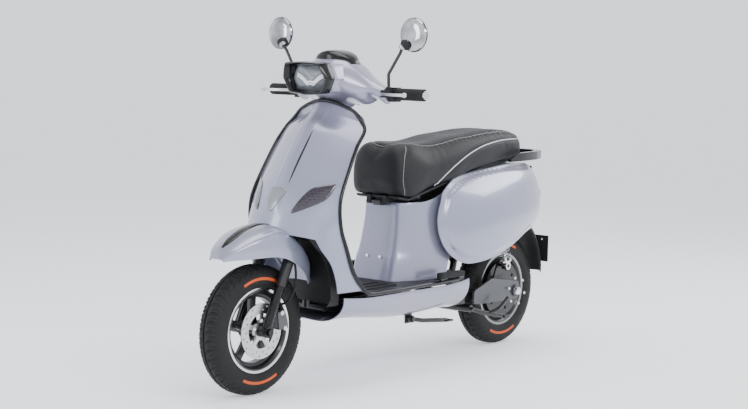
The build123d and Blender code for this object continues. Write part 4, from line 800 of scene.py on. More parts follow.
# %% Pillar and body sides
PILLAR_ROWS = [  # height, front x, shoulder (x, y), middle (x, y), rear (x, y); x from the rear axle
    (322, 744, (730, 100), (640, 138), (505, 150)), (391, 728, (714, 98), (630, 134), (480, 146)),
    (430, 714, (703, 92), (622, 128), (450, 142)), (482, 701, (692, 88), (618, 124), (420, 140)),
    (540, 693, (684, 84), (612, 120), (390, 137)), (582, 690, (682, 82), (606, 118), (360, 134)),
    (598, 688, (680, 80), (600, 117), (350, 132))]


def pillar_rows():
    rows = []
    for z, front, shoulder, mid, rear in PILLAR_ROWS:
        half = [(R + front * MM, 0.0, z * MM), (R + (front - 1) * MM, shoulder[1] * 0.55 * MM, z * MM)]
        half += [(R + x * MM, y * MM, z * MM) for x, y in (shoulder, mid, rear)]
        rows.append(mirrored(half))
    return rows


pillar_grid = surface(pillar_rows(), 121, 60)
for row in pillar_grid:
    for k, p in enumerate(row):
        back = min(max((R + 0.62 - p.x) / 0.2, 0), 1)
        rise = back * back * (p.z - 0.40) * 0.42 if p.z > 0.40 else 0.0
        row[k] = p + Vector((0, 0, rise))
pillar_mesh = moulded(face_out(grid_mesh("pillar", pillar_grid), (R + 0.5, 0, 0.45)), 0.003)
piece("pillar_cover", pillar_mesh, PEARL, "chassis", "seat_pillar")
print("pillar top at the back", round(max(p.z for p in pillar_grid[-1]), 3))

# %% [markdown]
# Each side cowl is a large rounded D with a second, lower step pressed round its rim. The step
# catches a dark line and a bright line, and those lines give the shape away more than the outline.

# %% Side cowls
COWL_ROWS = [  # x from the rear axle, then (y, z) from the top edge down
    (572, (137, 650), (150, 600), (157, 540), (158, 470), (150, 372)),
    (458, (136, 672), (176, 610), (197, 530), (199, 450), (174, 345)),
    (358, (134, 684), (186, 622), (209, 545), (210, 460), (178, 345)),
    (258, (130, 694), (184, 634), (211, 550), (209, 470), (180, 355)),
    (158, (126, 702), (178, 644), (203, 560), (200, 480), (172, 375)),
    (58, (118, 708), (166, 652), (187, 570), (184, 495), (156, 405)),
    (-32, (104, 706), (144, 654), (162, 580), (160, 510), (138, 430)),
    (-82, (92, 702), (126, 650), (142, 585), (141, 520), (122, 450)),
    (-128, (76, 696), (104, 646), (117, 585), (116, 525), (102, 458)),
    (-150, (62, 690), (84, 640), (94, 585), (92, 530), (82, 464))]
COWL_OUTLINE = [(511, 640), (541, 600), (560, 545), (557, 490), (531, 434), (484, 392), (420, 368),
                (332, 366), (214, 384), (94, 418), (12, 448), (-80, 464), (-132, 480), (-149, 520),
                (-146, 570), (-128, 625), (-98, 680), (-50, 708), (60, 714), (214, 710), (400, 688)]
STEP_IN = 0.030
STEP_DEPTH = 0.0075


def closed_line(points, steps=6):
    """A smooth closed outline through (x, z) points."""
    points = [Vector(p) for p in points]
    out = []
    for k in range(len(points)):
        a, b, c, d = (points[(k + shift) % len(points)] for shift in (-1, 0, 1, 2))
        for t in (step / steps for step in range(steps)):
            out.append(((2 * b) + (c - a) * t + (2 * a - 5 * b + 4 * c - d) * t * t
                        + (3 * b - a - 3 * c + d) * t ** 3) / 2)
    return [tuple(p) for p in out]


cowl_edge = closed_line([(R + x * MM, z * MM) for x, z in COWL_OUTLINE])
EDGE_NP = np.array(cowl_edge)


def rim_distance(x, z):
    """How far a place is inside the cowl's outline."""
    return float(np.min(np.hypot(EDGE_NP[:, 0] - x, EDGE_NP[:, 1] - z)))


def cowl(side):
    rows = []
    for x, *points in COWL_ROWS:
        y, z = points[0]
        deck = [(y - 50, z + 3), (y - 18, z + 3)]
        rows.append([(R + x * MM, y * MM, z * MM) for y, z in deck + points])
    grid = surface(rows, 130, 210)
    for row in grid:
        for k, p in enumerate(row):
            depth = min(max((STEP_IN - rim_distance(p.x, p.z)) / 0.014, 0), 1)
            row[k] = p - Vector((0, STEP_DEPTH * depth * depth * (3 - 2 * depth), 0))
    if side < 0:
        grid = [[Vector((p.x, -p.y, p.z)) for p in row] for row in grid]
    sheet = face_out(grid_mesh("cowl", grid), (R + 0.2, 0, 0.55))
    y0, y1 = sorted((side * 0.02, side * 0.28))
    return moulded(sheet, 0.003, keepers=[prism("cowl_outline", cowl_edge, y0, y1)], edge=0.0012)


for side, name in ((1, "left"), (-1, "right")):
    piece(f"cowl_{name}", cowl(side), PEARL, "chassis", f"side_cowl_{name}")
print("cowl outline points", len(cowl_edge))

# %% [markdown]
# ## Wheels
# A tyre is the one place where a modelled pattern beats a painted one, because its edge is seen
# against the floor. The tread is a ring of points that is pushed in along a centre groove and
# along curved side grooves. The points are sheared so that rows of faces follow each groove.

# %% Tyres
TREAD_PITCHES = 44
STEPS = 12
GROOVE = 0.0048
CROWN = [  # share of the half width, drop from the outer radius in millimetres
    (0.0, 0.0), (0.05, 0.0), (0.08, 0.1), (0.12, 0.2), (0.30, 0.6), (0.36, 0.9), (0.52, 3.4),
    (0.66, 8.0), (0.78, 14.0), (0.88, 21.0), (0.95, 29.0), (0.985, 37.0), (1.0, 45.0), (0.985, 55.0),
    (0.95, 64.0), (0.91, 69.0), (0.885, 70.5), (0.86, 73.0), (0.80, 75.5), (0.77, 76.6)]


def tread_depth(step, share):
    """How deep the tread is cut at a step round the tyre and a share of its half width."""
    if share < 0.06:
        return GROOVE
    in_side = 0.14 < share < 0.90 and step % STEPS in (0, 1, 2)
    in_short = 0.42 < share < 0.86 and step % STEPS in (6, 7)
    return GROOVE * (0.9 if in_side else 0.65 if in_short else 0.0)


def tyre_mesh(name, centre):
    count = TREAD_PITCHES * STEPS
    half_profile = [(share, TYRE_R - drop * MM) for share, drop in CROWN]
    profile = [(-share, r) for share, r in reversed(half_profile[1:])] + half_profile
    rows = []
    for share, r in profile:
        sweep = 0.085 * math.sin(abs(share) * math.pi * 0.9) * (1 if share > 0 else -1)
        sweep *= min(max((1.0 - abs(share)) / 0.15, 0), 1)
        row = []
        for step in range(count):
            a = 2 * math.pi * step / count + sweep
            cut = tread_depth(step, abs(share)) if r > TYRE_R - 0.030 else 0.0
            row.append((centre.x + (r - cut) * math.cos(a), share * TYRE_HALF, centre.z + (r - cut) * math.sin(a)))
        rows.append(row)
    mesh = recalculated(grid_mesh(name, rows, closed=True))
    shade(mesh, 32)
    return mesh


def tyre_rubber_with_band(name, centre):
    """Tyre rubber with two plain coloured arcs on each wall."""
    p = Paint(name, (0.012, 0.012, 0.013), 0.62, Specular_IOR_Level=0.25)
    off = p.add("ShaderNodeVectorMath", {"operation": "SUBTRACT"}, p.place(), tuple(centre))
    flat = p.add("ShaderNodeVectorMath", {"operation": "MULTIPLY"}, off, (1.0, 0.0, 1.0))
    radius = p.add("ShaderNodeVectorMath", {"operation": "LENGTH"}, flat, out=1)
    height = p.add("ShaderNodeSeparateXYZ", {}, off, out=2)
    band = (radius > 0.1670) * (1 - (radius > 0.1765)) * (height * height > radius * radius * 0.80)
    dust = p.noise(22.0, 4.0)
    rubber = p.mix(dust, (0.006, 0.006, 0.0065, 1), (0.016, 0.0155, 0.015, 1))
    p.set("Base Color", p.mix(band, rubber, (0.55, 0.085, 0.02, 1)))
    p.set("Roughness", 0.5 + dust * 0.2)
    return p.bump(p.noise(700.0, 2.0), 0.25, 0.0005).material


for end, centre, body in (("front", FRONT, "front_wheel"), ("rear", REAR, "rear_wheel")):
    mesh = tyre_mesh(f"{end}_tyre_tread", centre)
    piece(f"{end}_tyre_tread", mesh, tyre_rubber_with_band(f"{end}_tyre_rubber", centre), body,
          f"{end}_tyre")
    print(end, "tyre triangles", 2 * len(mesh.polygons))

# %% [markdown]
# The wheel's black casting has a machined lip, which is what makes a wheel look thin and bright.
# The lip is one turned ring a side. Small repeated bolts come from Geometry Nodes: one bolt is
# made once and set on points, here round the disc and the hub.

# %% Rim lips
FLANGE_R = 0.1396
LIP_HALF = 0.0338


def rim_lip(name, centre, side):
    profile = [(FLANGE_R - 0.0125, 0.0285), (FLANGE_R - 0.0110, 0.0318), (FLANGE_R - 0.0050, 0.0336),
               (FLANGE_R + 0.0010, 0.0345), (FLANGE_R + 0.0024, 0.0338), (FLANGE_R + 0.0020, 0.0322)]
    ring = lathe(name, centre, [(r, centre.y + side * y) for r, y in profile], 160)
    return ring


for end, centre, body, metal in (("front", FRONT, "front_wheel", LIP_FRONT),
                                 ("rear", REAR, "rear_wheel", LIP_REAR)):
    lips = joined(f"{end}_rim_lip", [rim_lip("lip", centre, side) for side in (1, -1)])
    piece(f"{end}_rim_lip", face_out(lips, (centre.x, 0, centre.z)), metal, body)
print("rim lips ready")

# %% Bolts set on points by Geometry Nodes


class Tree:
    """A Geometry Nodes tree with named inputs, made for one modifier."""

    def __init__(self, name, **sizes):
        self.group = bpy.data.node_groups.new(name, "GeometryNodeTree")
        face = self.group.interface
        face.new_socket("Geometry", in_out="INPUT", socket_type="NodeSocketGeometry")
        self.ids = {}
        for key, value in sizes.items():
            kind = "NodeSocketInt" if isinstance(value, int) else "NodeSocketFloat"
            socket = face.new_socket(key, in_out="INPUT", socket_type=kind)
            socket.default_value = value
            self.ids[key] = socket.identifier
        face.new_socket("Geometry", in_out="OUTPUT", socket_type="NodeSocketGeometry")
        self.inputs = self.group.nodes.new("NodeGroupInput")
        self.result = self.group.nodes.new("NodeGroupOutput")

    def add(self, kind, settings=None, **links):
        node = self.group.nodes.new(kind)
        for key, value in (settings or {}).items():
            setattr(node, key, value)
        for key, value in links.items():
            socket = node.inputs[key.replace("_", " ")]
            if isinstance(value, bpy.types.NodeSocket):
                self.group.links.new(value, socket)
            else:
                socket.default_value = value
        return node.outputs

    def size(self, key):
        return self.inputs.outputs[key]

    def finish(self, geometry, material):
        real = self.add("GeometryNodeRealizeInstances", Geometry=geometry)[0]
        painted = self.add("GeometryNodeSetMaterial", Geometry=real, Material=material)[0]
        self.group.links.new(painted, self.result.inputs[0])


def screw_tree(material):
    """A hexagon head on a washer, on every point, facing along one direction."""
    sizes = {"Radius": 0.005, "Height": 0.003, "Facing X": 0.0, "Facing Y": 1.0, "Facing Z": 0.0}
    tree = Tree("bolts_on_points", **sizes)
    radius, height = tree.size("Radius"), tree.size("Height")
    head = tree.add("GeometryNodeMeshCylinder", Vertices=6, Radius=radius, Depth=height)[0]
    wide = tree.add("ShaderNodeMath", {"operation": "MULTIPLY"})
    tree.group.links.new(radius, wide[0].node.inputs[0])
    wide[0].node.inputs[1].default_value = 1.35
    washer = tree.add("GeometryNodeMeshCylinder", Vertices=20, Radius=wide[0], Depth=0.0012)[0]
    both = tree.group.nodes.new("GeometryNodeJoinGeometry")
    tree.group.links.new(head, both.inputs[0])
    tree.group.links.new(washer, both.inputs[0])
    facing = tree.add("ShaderNodeCombineXYZ", X=tree.size("Facing X"), Y=tree.size("Facing Y"),
                      Z=tree.size("Facing Z"))[0]
    turn = tree.add("FunctionNodeAlignRotationToVector", {"axis": "Z"}, Vector=facing)[0]
    placed = tree.add("GeometryNodeInstanceOnPoints", Points=tree.inputs.outputs[0],
                      Instance=both.outputs[0], Rotation=turn)[0]
    tree.finish(placed, material)
    return tree


def bolts(name, groups, radius, height, material, body):
    """Bolts at places, each group with its own facing, as one plain mesh."""
    meshes = []
    for places, normal in groups:
        tree = screw_tree(material)
        points = bpy.data.meshes.new("points")
        points.from_pydata([tuple(place) for place in places], [], [])
        holder = bpy.data.objects.new("holder", points)
        bpy.context.scene.collection.objects.link(holder)
        modifier = holder.modifiers.new("bolts", "NODES")
        modifier.node_group = tree.group
        modifier[tree.ids["Radius"]] = radius
        modifier[tree.ids["Height"]] = height
        for key, share in zip(("Facing X", "Facing Y", "Facing Z"), normal):
            modifier[tree.ids[key]] = float(share)
        meshes.append(built(holder))
    mesh = joined(name, meshes)
    shade(mesh, 30)
    return piece(name, mesh, None, body)


def ring_of(centre, radius, count, y, start=0.0):
    return [(centre.x + radius * math.cos(start + 2 * math.pi * k / count), y,
             centre.z + radius * math.sin(start + 2 * math.pi * k / count)) for k in range(count)]


disc_low, disc_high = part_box("brake_disc")
bolts("disc_bolts", [(ring_of(FRONT, 0.034, 5, disc_high.y + 0.0008, 0.3), (0, 1, 0))], 0.0045, 0.006,
      CHROME, "front_wheel")
print("bolts ready")

# %% [markdown]
# ## Headlamp
# The lamp is a rounded six-sided bowl behind a thick black visor. What makes a lamp read as a
# lamp is depth: a visor in front, a bright bowl behind, and light bars between them. Each layer
# is the same outline at another size and place along X.

# %% Visor, bowl, light bars and lens
LAMP_CORNERS = [(0, 100), (74, 96), (95, 47), (73, 3), (0, -4)]
LAMP_MIDDLE = 50.0
lamp_low, lamp_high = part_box("headlight_housing")
LAMP_X = lamp_high.x - BAR_X - 0.008


def angular(corners, share=0.14):
    """Adds a point near each end of every side, so that a smooth line turns only at the corners."""
    out = []
    for a, b in zip(corners, corners[1:] + corners[:1]):
        a, b = Vector(a), Vector(b)
        out += [tuple(a + (b - a) * share), tuple(a + (b - a) * (1 - share))]
    return out


def lamp_ring(grow, x, visor=0.0):
    """The lamp's outline, scaled about its middle, in front of the bar; a visor leans forward."""
    whole = LAMP_CORNERS + [(-y, z) for y, z in reversed(LAMP_CORNERS[1:-1])]
    scaled = [(y * grow * MM, (LAMP_MIDDLE + (z - LAMP_MIDDLE) * grow) * MM) for y, z in whole]
    return [(BAR_X + x + visor * min(max((z - 0.05) / 0.05, -0.3), 1), y, BAR_Z + z)
            for y, z in closed_line(angular(scaled))]


def lamp_layer(name, sizes, material, covers=()):
    mesh = recalculated(grid_mesh(name, [lamp_ring(*size) for size in sizes], closed=True))
    shade(mesh, 42)
    return piece(name, mesh, material, "steering", *covers)


COLLAR = [(0.93, 0.084), (1.01, 0.090), (1.035, 0.112), (1.05, LAMP_X - 0.060), (1.055, LAMP_X - 0.044),
          (1.03, LAMP_X - 0.040), (0.96, LAMP_X - 0.046), (0.93, 0.084)]
lamp_layer("lamp_collar", COLLAR, PEARL)
VISOR = [(0.90, LAMP_X - 0.070), (0.97, LAMP_X - 0.070), (1.03, LAMP_X - 0.046), (1.085, LAMP_X - 0.040),
         (1.10, LAMP_X - 0.024, 0.008), (1.08, LAMP_X - 0.006, 0.014), (1.03, LAMP_X, 0.016),
         (0.95, LAMP_X - 0.002, 0.015), (0.87, LAMP_X - 0.008, 0.010), (0.82, LAMP_X - 0.020, 0.004),
         (0.80, LAMP_X - 0.034), (0.79, LAMP_X - 0.042), (0.90, LAMP_X - 0.070)]
lamp_layer("lamp_visor", VISOR, GLOSS_BLACK, covers=("headlight_housing",))
BOWL = [(0.81, LAMP_X - 0.036), (0.72, LAMP_X - 0.044), (0.58, LAMP_X - 0.050), (0.34, LAMP_X - 0.055),
        (0.02, LAMP_X - 0.057)]
lamp_layer("lamp_bowl", BOWL, SILVER)
LENS = [(0.81, LAMP_X - 0.034), (0.79, LAMP_X - 0.028), (0.70, LAMP_X - 0.023), (0.50, LAMP_X - 0.020),
        (0.25, LAMP_X - 0.018), (0.02, LAMP_X - 0.0175)]
lamp_layer("lamp_lens", LENS, CLEAR, covers=("headlight_lens",))


def light_bar(side, y0, y1, z0, z1, thick):
    """A slanted light bar: a thin rounded tube, brightest of all parts."""
    points = [(BAR_X + LAMP_X - 0.036, side * y * MM, BAR_Z + z * MM)
              for y, z in ((y0, z0), ((y0 + y1) / 2, (z0 + z1) / 2 + 3), (y1, z1))]
    return tube("bar", points, thick, 10, 16)


bars = [light_bar(side, 16, 58, low, high, 0.0024) for side in (1, -1)
        for low, high in ((28, 54), (36, 62))]
bars += [light_bar(1, -15, 15, height, height, 0.0026) for height in (26, 34)]
piece("lamp_light_bars", joined("lamp_light_bars", bars), LAMP, "steering")
print("lamp depth", round(LAMP_X, 4))

# %% [markdown]
# ## Seat
# A seat cover is vinyl pulled over foam, so its faces swell between the seams. Modelling that by
# hand looks carved. Here a slightly smaller form is blown up as cloth for twenty frames, with a
# cap on how far it may move, and seams and stitches are laid on the result.

# %% Blow up the cushion
SEAT_CAP = 0.006


def swollen(mesh, cell, shrink, cap):
    """Cloth pressure rounds a closed form; no point moves further than the cap."""
    bm = bmesh.new()
    bm.from_mesh(mesh)
    bm.normal_update()
    for v in bm.verts:
        v.co -= v.normal * shrink
    bm.to_mesh(mesh)
    bm.free()
    obj = bpy.data.objects.new("foam", mesh)
    bpy.context.scene.collection.objects.link(obj)
    remesh = obj.modifiers.new("cells", "REMESH")
    remesh.mode, remesh.voxel_size = "VOXEL", cell
    mesh = built(obj)
    obj = bpy.data.objects.new("foam", mesh)
    bpy.context.scene.collection.objects.link(obj)
    start = np.array([v.co for v in mesh.vertices])
    cloth = obj.modifiers.new("cloth", "CLOTH")
    cloth.settings.use_pressure, cloth.settings.uniform_pressure_force = True, 4.0
    cloth.settings.effector_weights.gravity = 0.0
    cloth.settings.tension_stiffness = cloth.settings.compression_stiffness = 15
    cloth.settings.mass = 0.3
    for frame_number in range(1, 21):
        bpy.context.scene.frame_set(frame_number)
    mesh = built(obj)
    bpy.context.scene.frame_set(1)
    end = np.array([v.co for v in mesh.vertices])
    move = end - start
    far = np.linalg.norm(move, axis=1, keepdims=True)
    move *= np.minimum(1.0, cap / np.maximum(far, 1e-9))
    mesh.vertices.foreach_set("co", (start + move).astype(np.float32).ravel())
    print("cloth moved up to", round(float(far.max()), 4), "kept to", cap)
    return mesh


def smoothed(mesh, rounds):
    bm = bmesh.new()
    bm.from_mesh(mesh)
    for _ in range(rounds):
        bmesh.ops.smooth_vert(bm, verts=bm.verts, factor=0.5, use_axis_x=True, use_axis_y=True,
                              use_axis_z=True)
    bm.to_mesh(mesh)
    bm.free()
    for face in mesh.polygons:
        face.use_smooth = True
    return mesh


foam = merged("seat_cushion")
foam_mesh = bpy.data.meshes.new("foam")
foam.to_mesh(foam_mesh)
foam.free()
seat_mesh = smoothed(swollen(foam_mesh, 0.006, 0.004, SEAT_CAP), 4)
print("seat faces", len(seat_mesh.polygons))

# %% [markdown]
# Seams are grooves in the foam. Each is a line on the cover, and points near it sink a little.
# The same line then carries the stitches, so stitch and groove always agree.

# %% Seam lines on the cover
from mathutils.bvhtree import BVHTree

SEAT_MID_X = R + 0.34
PANEL = [(R + 0.700, 0.0), (R + 0.690, 0.055), (R + 0.62, 0.088), (R + 0.50, 0.100), (R + 0.36, 0.102),
         (R + 0.22, 0.094), (R + 0.10, 0.078), (R + 0.00, 0.058), (R - 0.045, 0.030), (R - 0.052, 0.0)]


def seat_tree():
    return BVHTree.FromPolygons([v.co for v in seat_mesh.vertices],
                                [tuple(f.vertices) for f in seat_mesh.polygons])


def dropped(points, lift=0.0):
    """Points let down onto the cover from above."""
    tree, out = seat_tree(), []
    for x, y in points:
        hit, normal, _, _ = tree.ray_cast(Vector((x, y, 1.2)), Vector((0, 0, -1)))
        if hit is not None:
            out.append((hit + normal * lift, normal))
    return out


def pushed_in(points, lift=0.0):
    """Points (x, z) pushed onto the left side of the cover, and mirrored to the right."""
    tree, out = seat_tree(), []
    for x, z in points:
        hit, normal, _, _ = tree.ray_cast(Vector((x, 0.4, z)), Vector((0, -1, 0)))
        if hit is not None:
            out.append((hit + normal * lift, normal))
    return out


panel_loop = PANEL + [(x, -y) for x, y in reversed(PANEL[1:-1])]
panel_fine = closed_line(panel_loop, 10)
PIPING = [(R - 0.070, 0.798), (R + 0.02, 0.802), (R + 0.14, 0.800), (R + 0.26, 0.786), (R + 0.36, 0.760),
          (R + 0.44, 0.728), (R + 0.505, 0.690), (R + 0.545, 0.655)]
piping_fine = [(p.x, p.z) for p in smooth_line([(x, 0, z) for x, z in PIPING], 90)]
NOSE = [(R + 0.672, 0.795), (R + 0.694, 0.762), (R + 0.705, 0.715), (R + 0.706, 0.670), (R + 0.696, 0.632)]
nose_fine = [(p.x, p.z) for p in smooth_line([(x, 0, z) for x, z in NOSE], 60)]


def sink(mesh, lines, depth, width):
    """Presses grooves into a mesh along lines of points."""
    seams = np.array([p for line in lines for p in line])
    co = np.array([v.co for v in mesh.vertices])
    mesh.calc_loop_triangles()
    normals = np.array([v.normal for v in mesh.vertices])
    near = np.full(len(co), 9.0)
    for first in range(0, len(co), 2000):
        part = co[first:first + 2000]
        near[first:first + 2000] = np.sqrt(((part[:, None] - seams[None]) ** 2).sum(2).min(1))
    fall = np.exp(-(near / width) ** 2)
    co -= normals * (depth * fall)[:, None]
    mesh.vertices.foreach_set("co", co.astype(np.float32).ravel())


top_seam = [hit for hit, _ in dropped(panel_fine)]
side_seam = [hit for hit, _ in pushed_in(piping_fine)]
nose_seam = [hit for hit, _ in pushed_in(nose_fine)]
seams = [top_seam, side_seam, nose_seam]
seams += [[Vector((p.x, -p.y, p.z)) for p in line] for line in (side_seam, nose_seam)]
sink(seat_mesh, [line[::2] for line in seams], 0.0035, 0.007)

for face in seat_mesh.polygons:
    c = face.center
    inside = c.z > 0.74 and face.normal.z > 0.35
    if inside:
        limit = np.interp(c.x, [x for x, _ in reversed(PANEL)], [y for _, y in reversed(PANEL)])
        inside = abs(c.y) < limit and PANEL[-1][0] < c.x < PANEL[0][0]
    face.material_index = 1 if inside else 0
seat_obj = piece("seat_cover", seat_mesh, VINYL, "seat", "seat_cushion")
seat_mesh.materials.append(PERFORATED)
print("seams", [len(line) for line in seams])

# %% [markdown]
# Stitches are many, equal and follow a line, so Geometry Nodes set them: the line becomes a
# curve, the curve becomes evenly spaced points, and each point gets one short thread.

# %% Stitches and piping


def stitch_tree(material):
    tree = Tree("stitches_on_a_line", Spacing=0.006, Length=0.0038, Thread=0.0006)
    as_curve = tree.add("GeometryNodeMeshToCurve", Mesh=tree.inputs.outputs[0])[0]
    points = tree.group.nodes.new("GeometryNodeCurveToPoints")
    points.mode = "LENGTH"
    tree.group.links.new(as_curve, points.inputs["Curve"])
    tree.group.links.new(tree.size("Spacing"), points.inputs["Length"])
    thread = tree.add("GeometryNodeMeshCylinder", Vertices=6, Radius=tree.size("Thread"),
                      Depth=tree.size("Length"))[0]
    turn = tree.add("FunctionNodeAlignRotationToVector", {"axis": "Z"},
                    Vector=points.outputs["Tangent"])[0]
    placed = tree.add("GeometryNodeInstanceOnPoints", Points=points.outputs["Points"], Instance=thread,
                      Rotation=turn)[0]
    tree.finish(placed, material)
    return tree


def stitches(name, lines, spacing, material, body):
    tree = stitch_tree(material)
    mesh = bpy.data.meshes.new("lines")
    points, edges = [], []
    for line in lines:
        first = len(points)
        points += [tuple(p) for p in line]
        edges += [(first + k, first + k + 1) for k in range(len(line) - 1)]
    mesh.from_pydata(points, edges, [])
    holder = bpy.data.objects.new("holder", mesh)
    bpy.context.scene.collection.objects.link(holder)
    modifier = holder.modifiers.new("stitches", "NODES")
    modifier.node_group = tree.group
    modifier[tree.ids["Spacing"]] = spacing
    modifier[tree.ids["Length"]] = spacing * 0.62
    modifier[tree.ids["Thread"]] = 0.00070
    return piece(name, built(holder), None, body)


def thread_white():
    p = Paint("thread_white", (0.55, 0.56, 0.58), 0.7)
    p.set("Base Color", p.mix(p.noise(300.0), (0.48, 0.49, 0.51, 1), (0.66, 0.67, 0.69, 1)))
    return p.bump(p.noise(1500.0), 0.4, 0.0003).material


def both(lines):
    return lines + [[Vector((p.x, -p.y, p.z)) for p in line] for line in lines]


THREAD = thread_white()
near_top = [hit for hit, _ in dropped([(SEAT_MID_X + (x - SEAT_MID_X) * 0.985, y * 0.95)
                                       for x, y in panel_fine], 0.0004)]
near_nose = [hit for hit, _ in pushed_in([(x + 0.007, z) for x, z in nose_fine], 0.0004)]
stitches("seat_stitches", [near_top + near_top[:1]] + both([near_nose]), 0.0085, THREAD, "seat")
piping = [hit for hit, _ in pushed_in(piping_fine, 0.0012)]
piping_meshes = [tube("piping", line, 0.0021, 10) for line in both([piping])]
piece("seat_piping", joined("seat_piping", piping_meshes), THREAD, "seat")
print("piping points", len(piping))

# %% [markdown]
# ## Handlebar details
# The neck between the headset and the shield is a short painted skirt. The mirrors are chromed
# bowls with a black bezel and a black boot at the ball, and a separate glass towards the rider.

# %% Neck skirt
NECK_ROWS = [(-44, 50, 30, -8), (-30, 58, 36, -4), (-16, 66, 42, 4), (2, 76, 50, 14), (16, 84, 56, 22)]


def oval(z, half_y, half_x, shift, count=64):
    """One level ring of the skirt, in millimetres from the bar."""
    return [(BAR_X + (shift + half_x * math.cos(a)) * MM, half_y * math.sin(a) * MM, BAR_Z + z * MM)
            for a in (2 * math.pi * k / count for k in range(count))]


neck_mesh = recalculated(grid_mesh("neck", [oval(*row) for row in NECK_ROWS], closed=True))
neck_mesh = moulded(face_out(neck_mesh, (BAR_X, 0, BAR_Z)), 0.003, edge=0.0)
piece("neck_skirt", neck_mesh, PEARL, "steering")

# %% Dial dome
DIAL_PLAN = [(111, 0), (104, 40), (84, 70), (55, 83), (22, 80), (-4, 48), (-10, 0)]


def dome_ring(share, fall):
    """A ring of the dial's cover: its plan scaled about the middle, lower towards the sides."""
    middle = 52.0
    plan = closed_line(DIAL_PLAN + [(x, -y) for x, y in reversed(DIAL_PLAN[1:-1])], 8)
    return [(BAR_X + (middle + (x - middle) * share) * MM, y * share * MM,
             BAR_Z + (144 - 30 * (y * share / 83) ** 2 - fall) * MM) for x, y in plan]


dome_mesh = recalculated(grid_mesh("dome", [dome_ring(*row) for row in (
    (0.90, 50), (0.99, 44), (1.0, 28), (0.98, 16), (0.92, 8), (0.80, 4), (0.60, 1.5), (0.3, 0.4),
    (0.02, 0))], closed=True))
shade(dome_mesh, 50)
piece("dial_dome", dome_mesh, GLOSS_BLACK, "steering", "instrument_panel")

# %% Mirror bezels, boots and glass


def mirror_extras(side, name):
    low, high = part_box(f"mirror_{name}")
    radius = (high.z - low.z) / 2
    centre = Vector((low.x, side * (abs(low.y + high.y) / 2), high.z - radius))
    centre.y = side * (max(abs(low.y), abs(high.y)) - radius)

    def ring(r, x):
        return [(centre.x + x, centre.y + r * math.sin(a), centre.z + r * math.cos(a))
                for a in (2 * math.pi * k / 96 for k in range(96))]

    bezel = recalculated(grid_mesh("bezel", [ring(radius - 0.0045, -0.0002), ring(radius + 0.0004, -0.0004),
                                             ring(radius + 0.0012, 0.0015), ring(radius + 0.0008, 0.0042),
                                             ring(radius - 0.0022, 0.0050)], closed=True))
    shade(bezel, 40)
    glass = grid_mesh("glass", [ring(radius - 0.0040, -0.0006), ring(radius * 0.6, -0.0009),
                                ring(0.0005, -0.0010)], closed=True)
    face_out(glass, (centre.x + 1, centre.y, centre.z))
    bezel.materials.append(GLOSS_BLACK)
    glass.materials.append(MIRROR)
    piece(f"mirror_bezel_{name}", joined("bezel_and_glass", [bezel, glass]), None, f"mirror_{name}")
    return centre, radius


def mirror_boot(side, name, centre, radius):
    """A soft black cup over the ball, which blends into the bowl."""
    start = Vector((BAR_X + 0.030, side * (abs(centre.y) - 0.030), BAR_Z + 0.158))
    end = Vector((centre.x + 0.010, centre.y - side * 0.016, centre.z - 0.026))
    line = [start + (end - start) * t for t in (0, 0.25, 0.5, 0.75, 1.0)]
    mesh = tube("boot", line, lambda t: 0.0135 + 0.0065 * math.sin(math.pi * min(t * 1.1, 1)), 20, 24)
    piece(f"mirror_boot_{name}", mesh, TEXTURED_BLACK, f"mirror_{name}")


for side, name in ((1, "left"), (-1, "right")):
    mirror_centre, mirror_radius = mirror_extras(side, name)
    mirror_boot(side, name, mirror_centre, mirror_radius)
print("mirror radius", round(mirror_radius, 4))

# %% [markdown]
# A grip is a rubber sleeve with fine rings, so that a hand doesn't slide. The rings are part of
# the turned profile. The dash cover and the pods keep the frame's shape.

# %% Ribbed grips
for node, side in (("left_grip", 1), ("throttle_grip", -1)):
    low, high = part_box(node)
    radius = (high.z - low.z) / 2
    length = high.y - low.y
    centre = (low + high) / 2
    inner = 0.012
    rings = 34
    profile = [(inner, low.y), (radius - 0.002, low.y), (radius, low.y + 0.003)]
    for k in range(rings):
        y = low.y + 0.006 + (length - 0.012) * k / rings
        step = (length - 0.012) / rings
        deep = 0.0009 if 3 < k < rings - 4 else 0.0003
        profile += [(radius - 0.0003, y), (radius - 0.0003 - deep, y + step * 0.45),
                    (radius - 0.0003, y + step * 0.9)]
    profile += [(radius, high.y - 0.003), (radius - 0.002, high.y), (inner, high.y)]
    piece(f"{node}_sleeve", lathe(f"{node}_sleeve", centre, profile, 48), GRIP_RUBBER, own_body(node), node)
print("grip radius", round(radius, 4))

# %% [markdown]
# The front brake hose bends as the fork closes: its lower end moves with the wheel and its upper
# end with the steering. Here it is one still tube on a smooth path, on neither body.

# %% Brake hose
HOSE = [(-94, 40, 292), (-103, 66, 306), (-111, 86, 345), (-113, 90, 395), (-117, 78, 440), (-120, 58, 468)]
hose_points = [(F + x * MM, y * MM, z * MM) for x, y, z in HOSE]
hose_mesh = tube("front_brake_hose", hose_points, 0.004, 14, 70)
hose_mesh.materials.append(GRIP_RUBBER)
hose_obj = bpy.data.objects.new("front_brake_hose", hose_mesh)
bpy.context.scene.collection.objects.link(hose_obj)
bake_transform(hose_obj)
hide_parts("brake_hose")
print("hose length", round(sum((Vector(b) - Vector(a)).length for a, b in zip(hose_points, hose_points[1:])), 3))

# %% [markdown]
# The shield also carries a thin dark slot beside the raised band, two blade-shaped lamps and a
# silver cover over the horn. The slot is a thin inlay let into the paint.

# %% Inlays on the shield
shield_tree = BVHTree.FromPolygons([v.co for v in apron_mesh.vertices],
                                   [tuple(f.vertices) for f in apron_mesh.polygons])


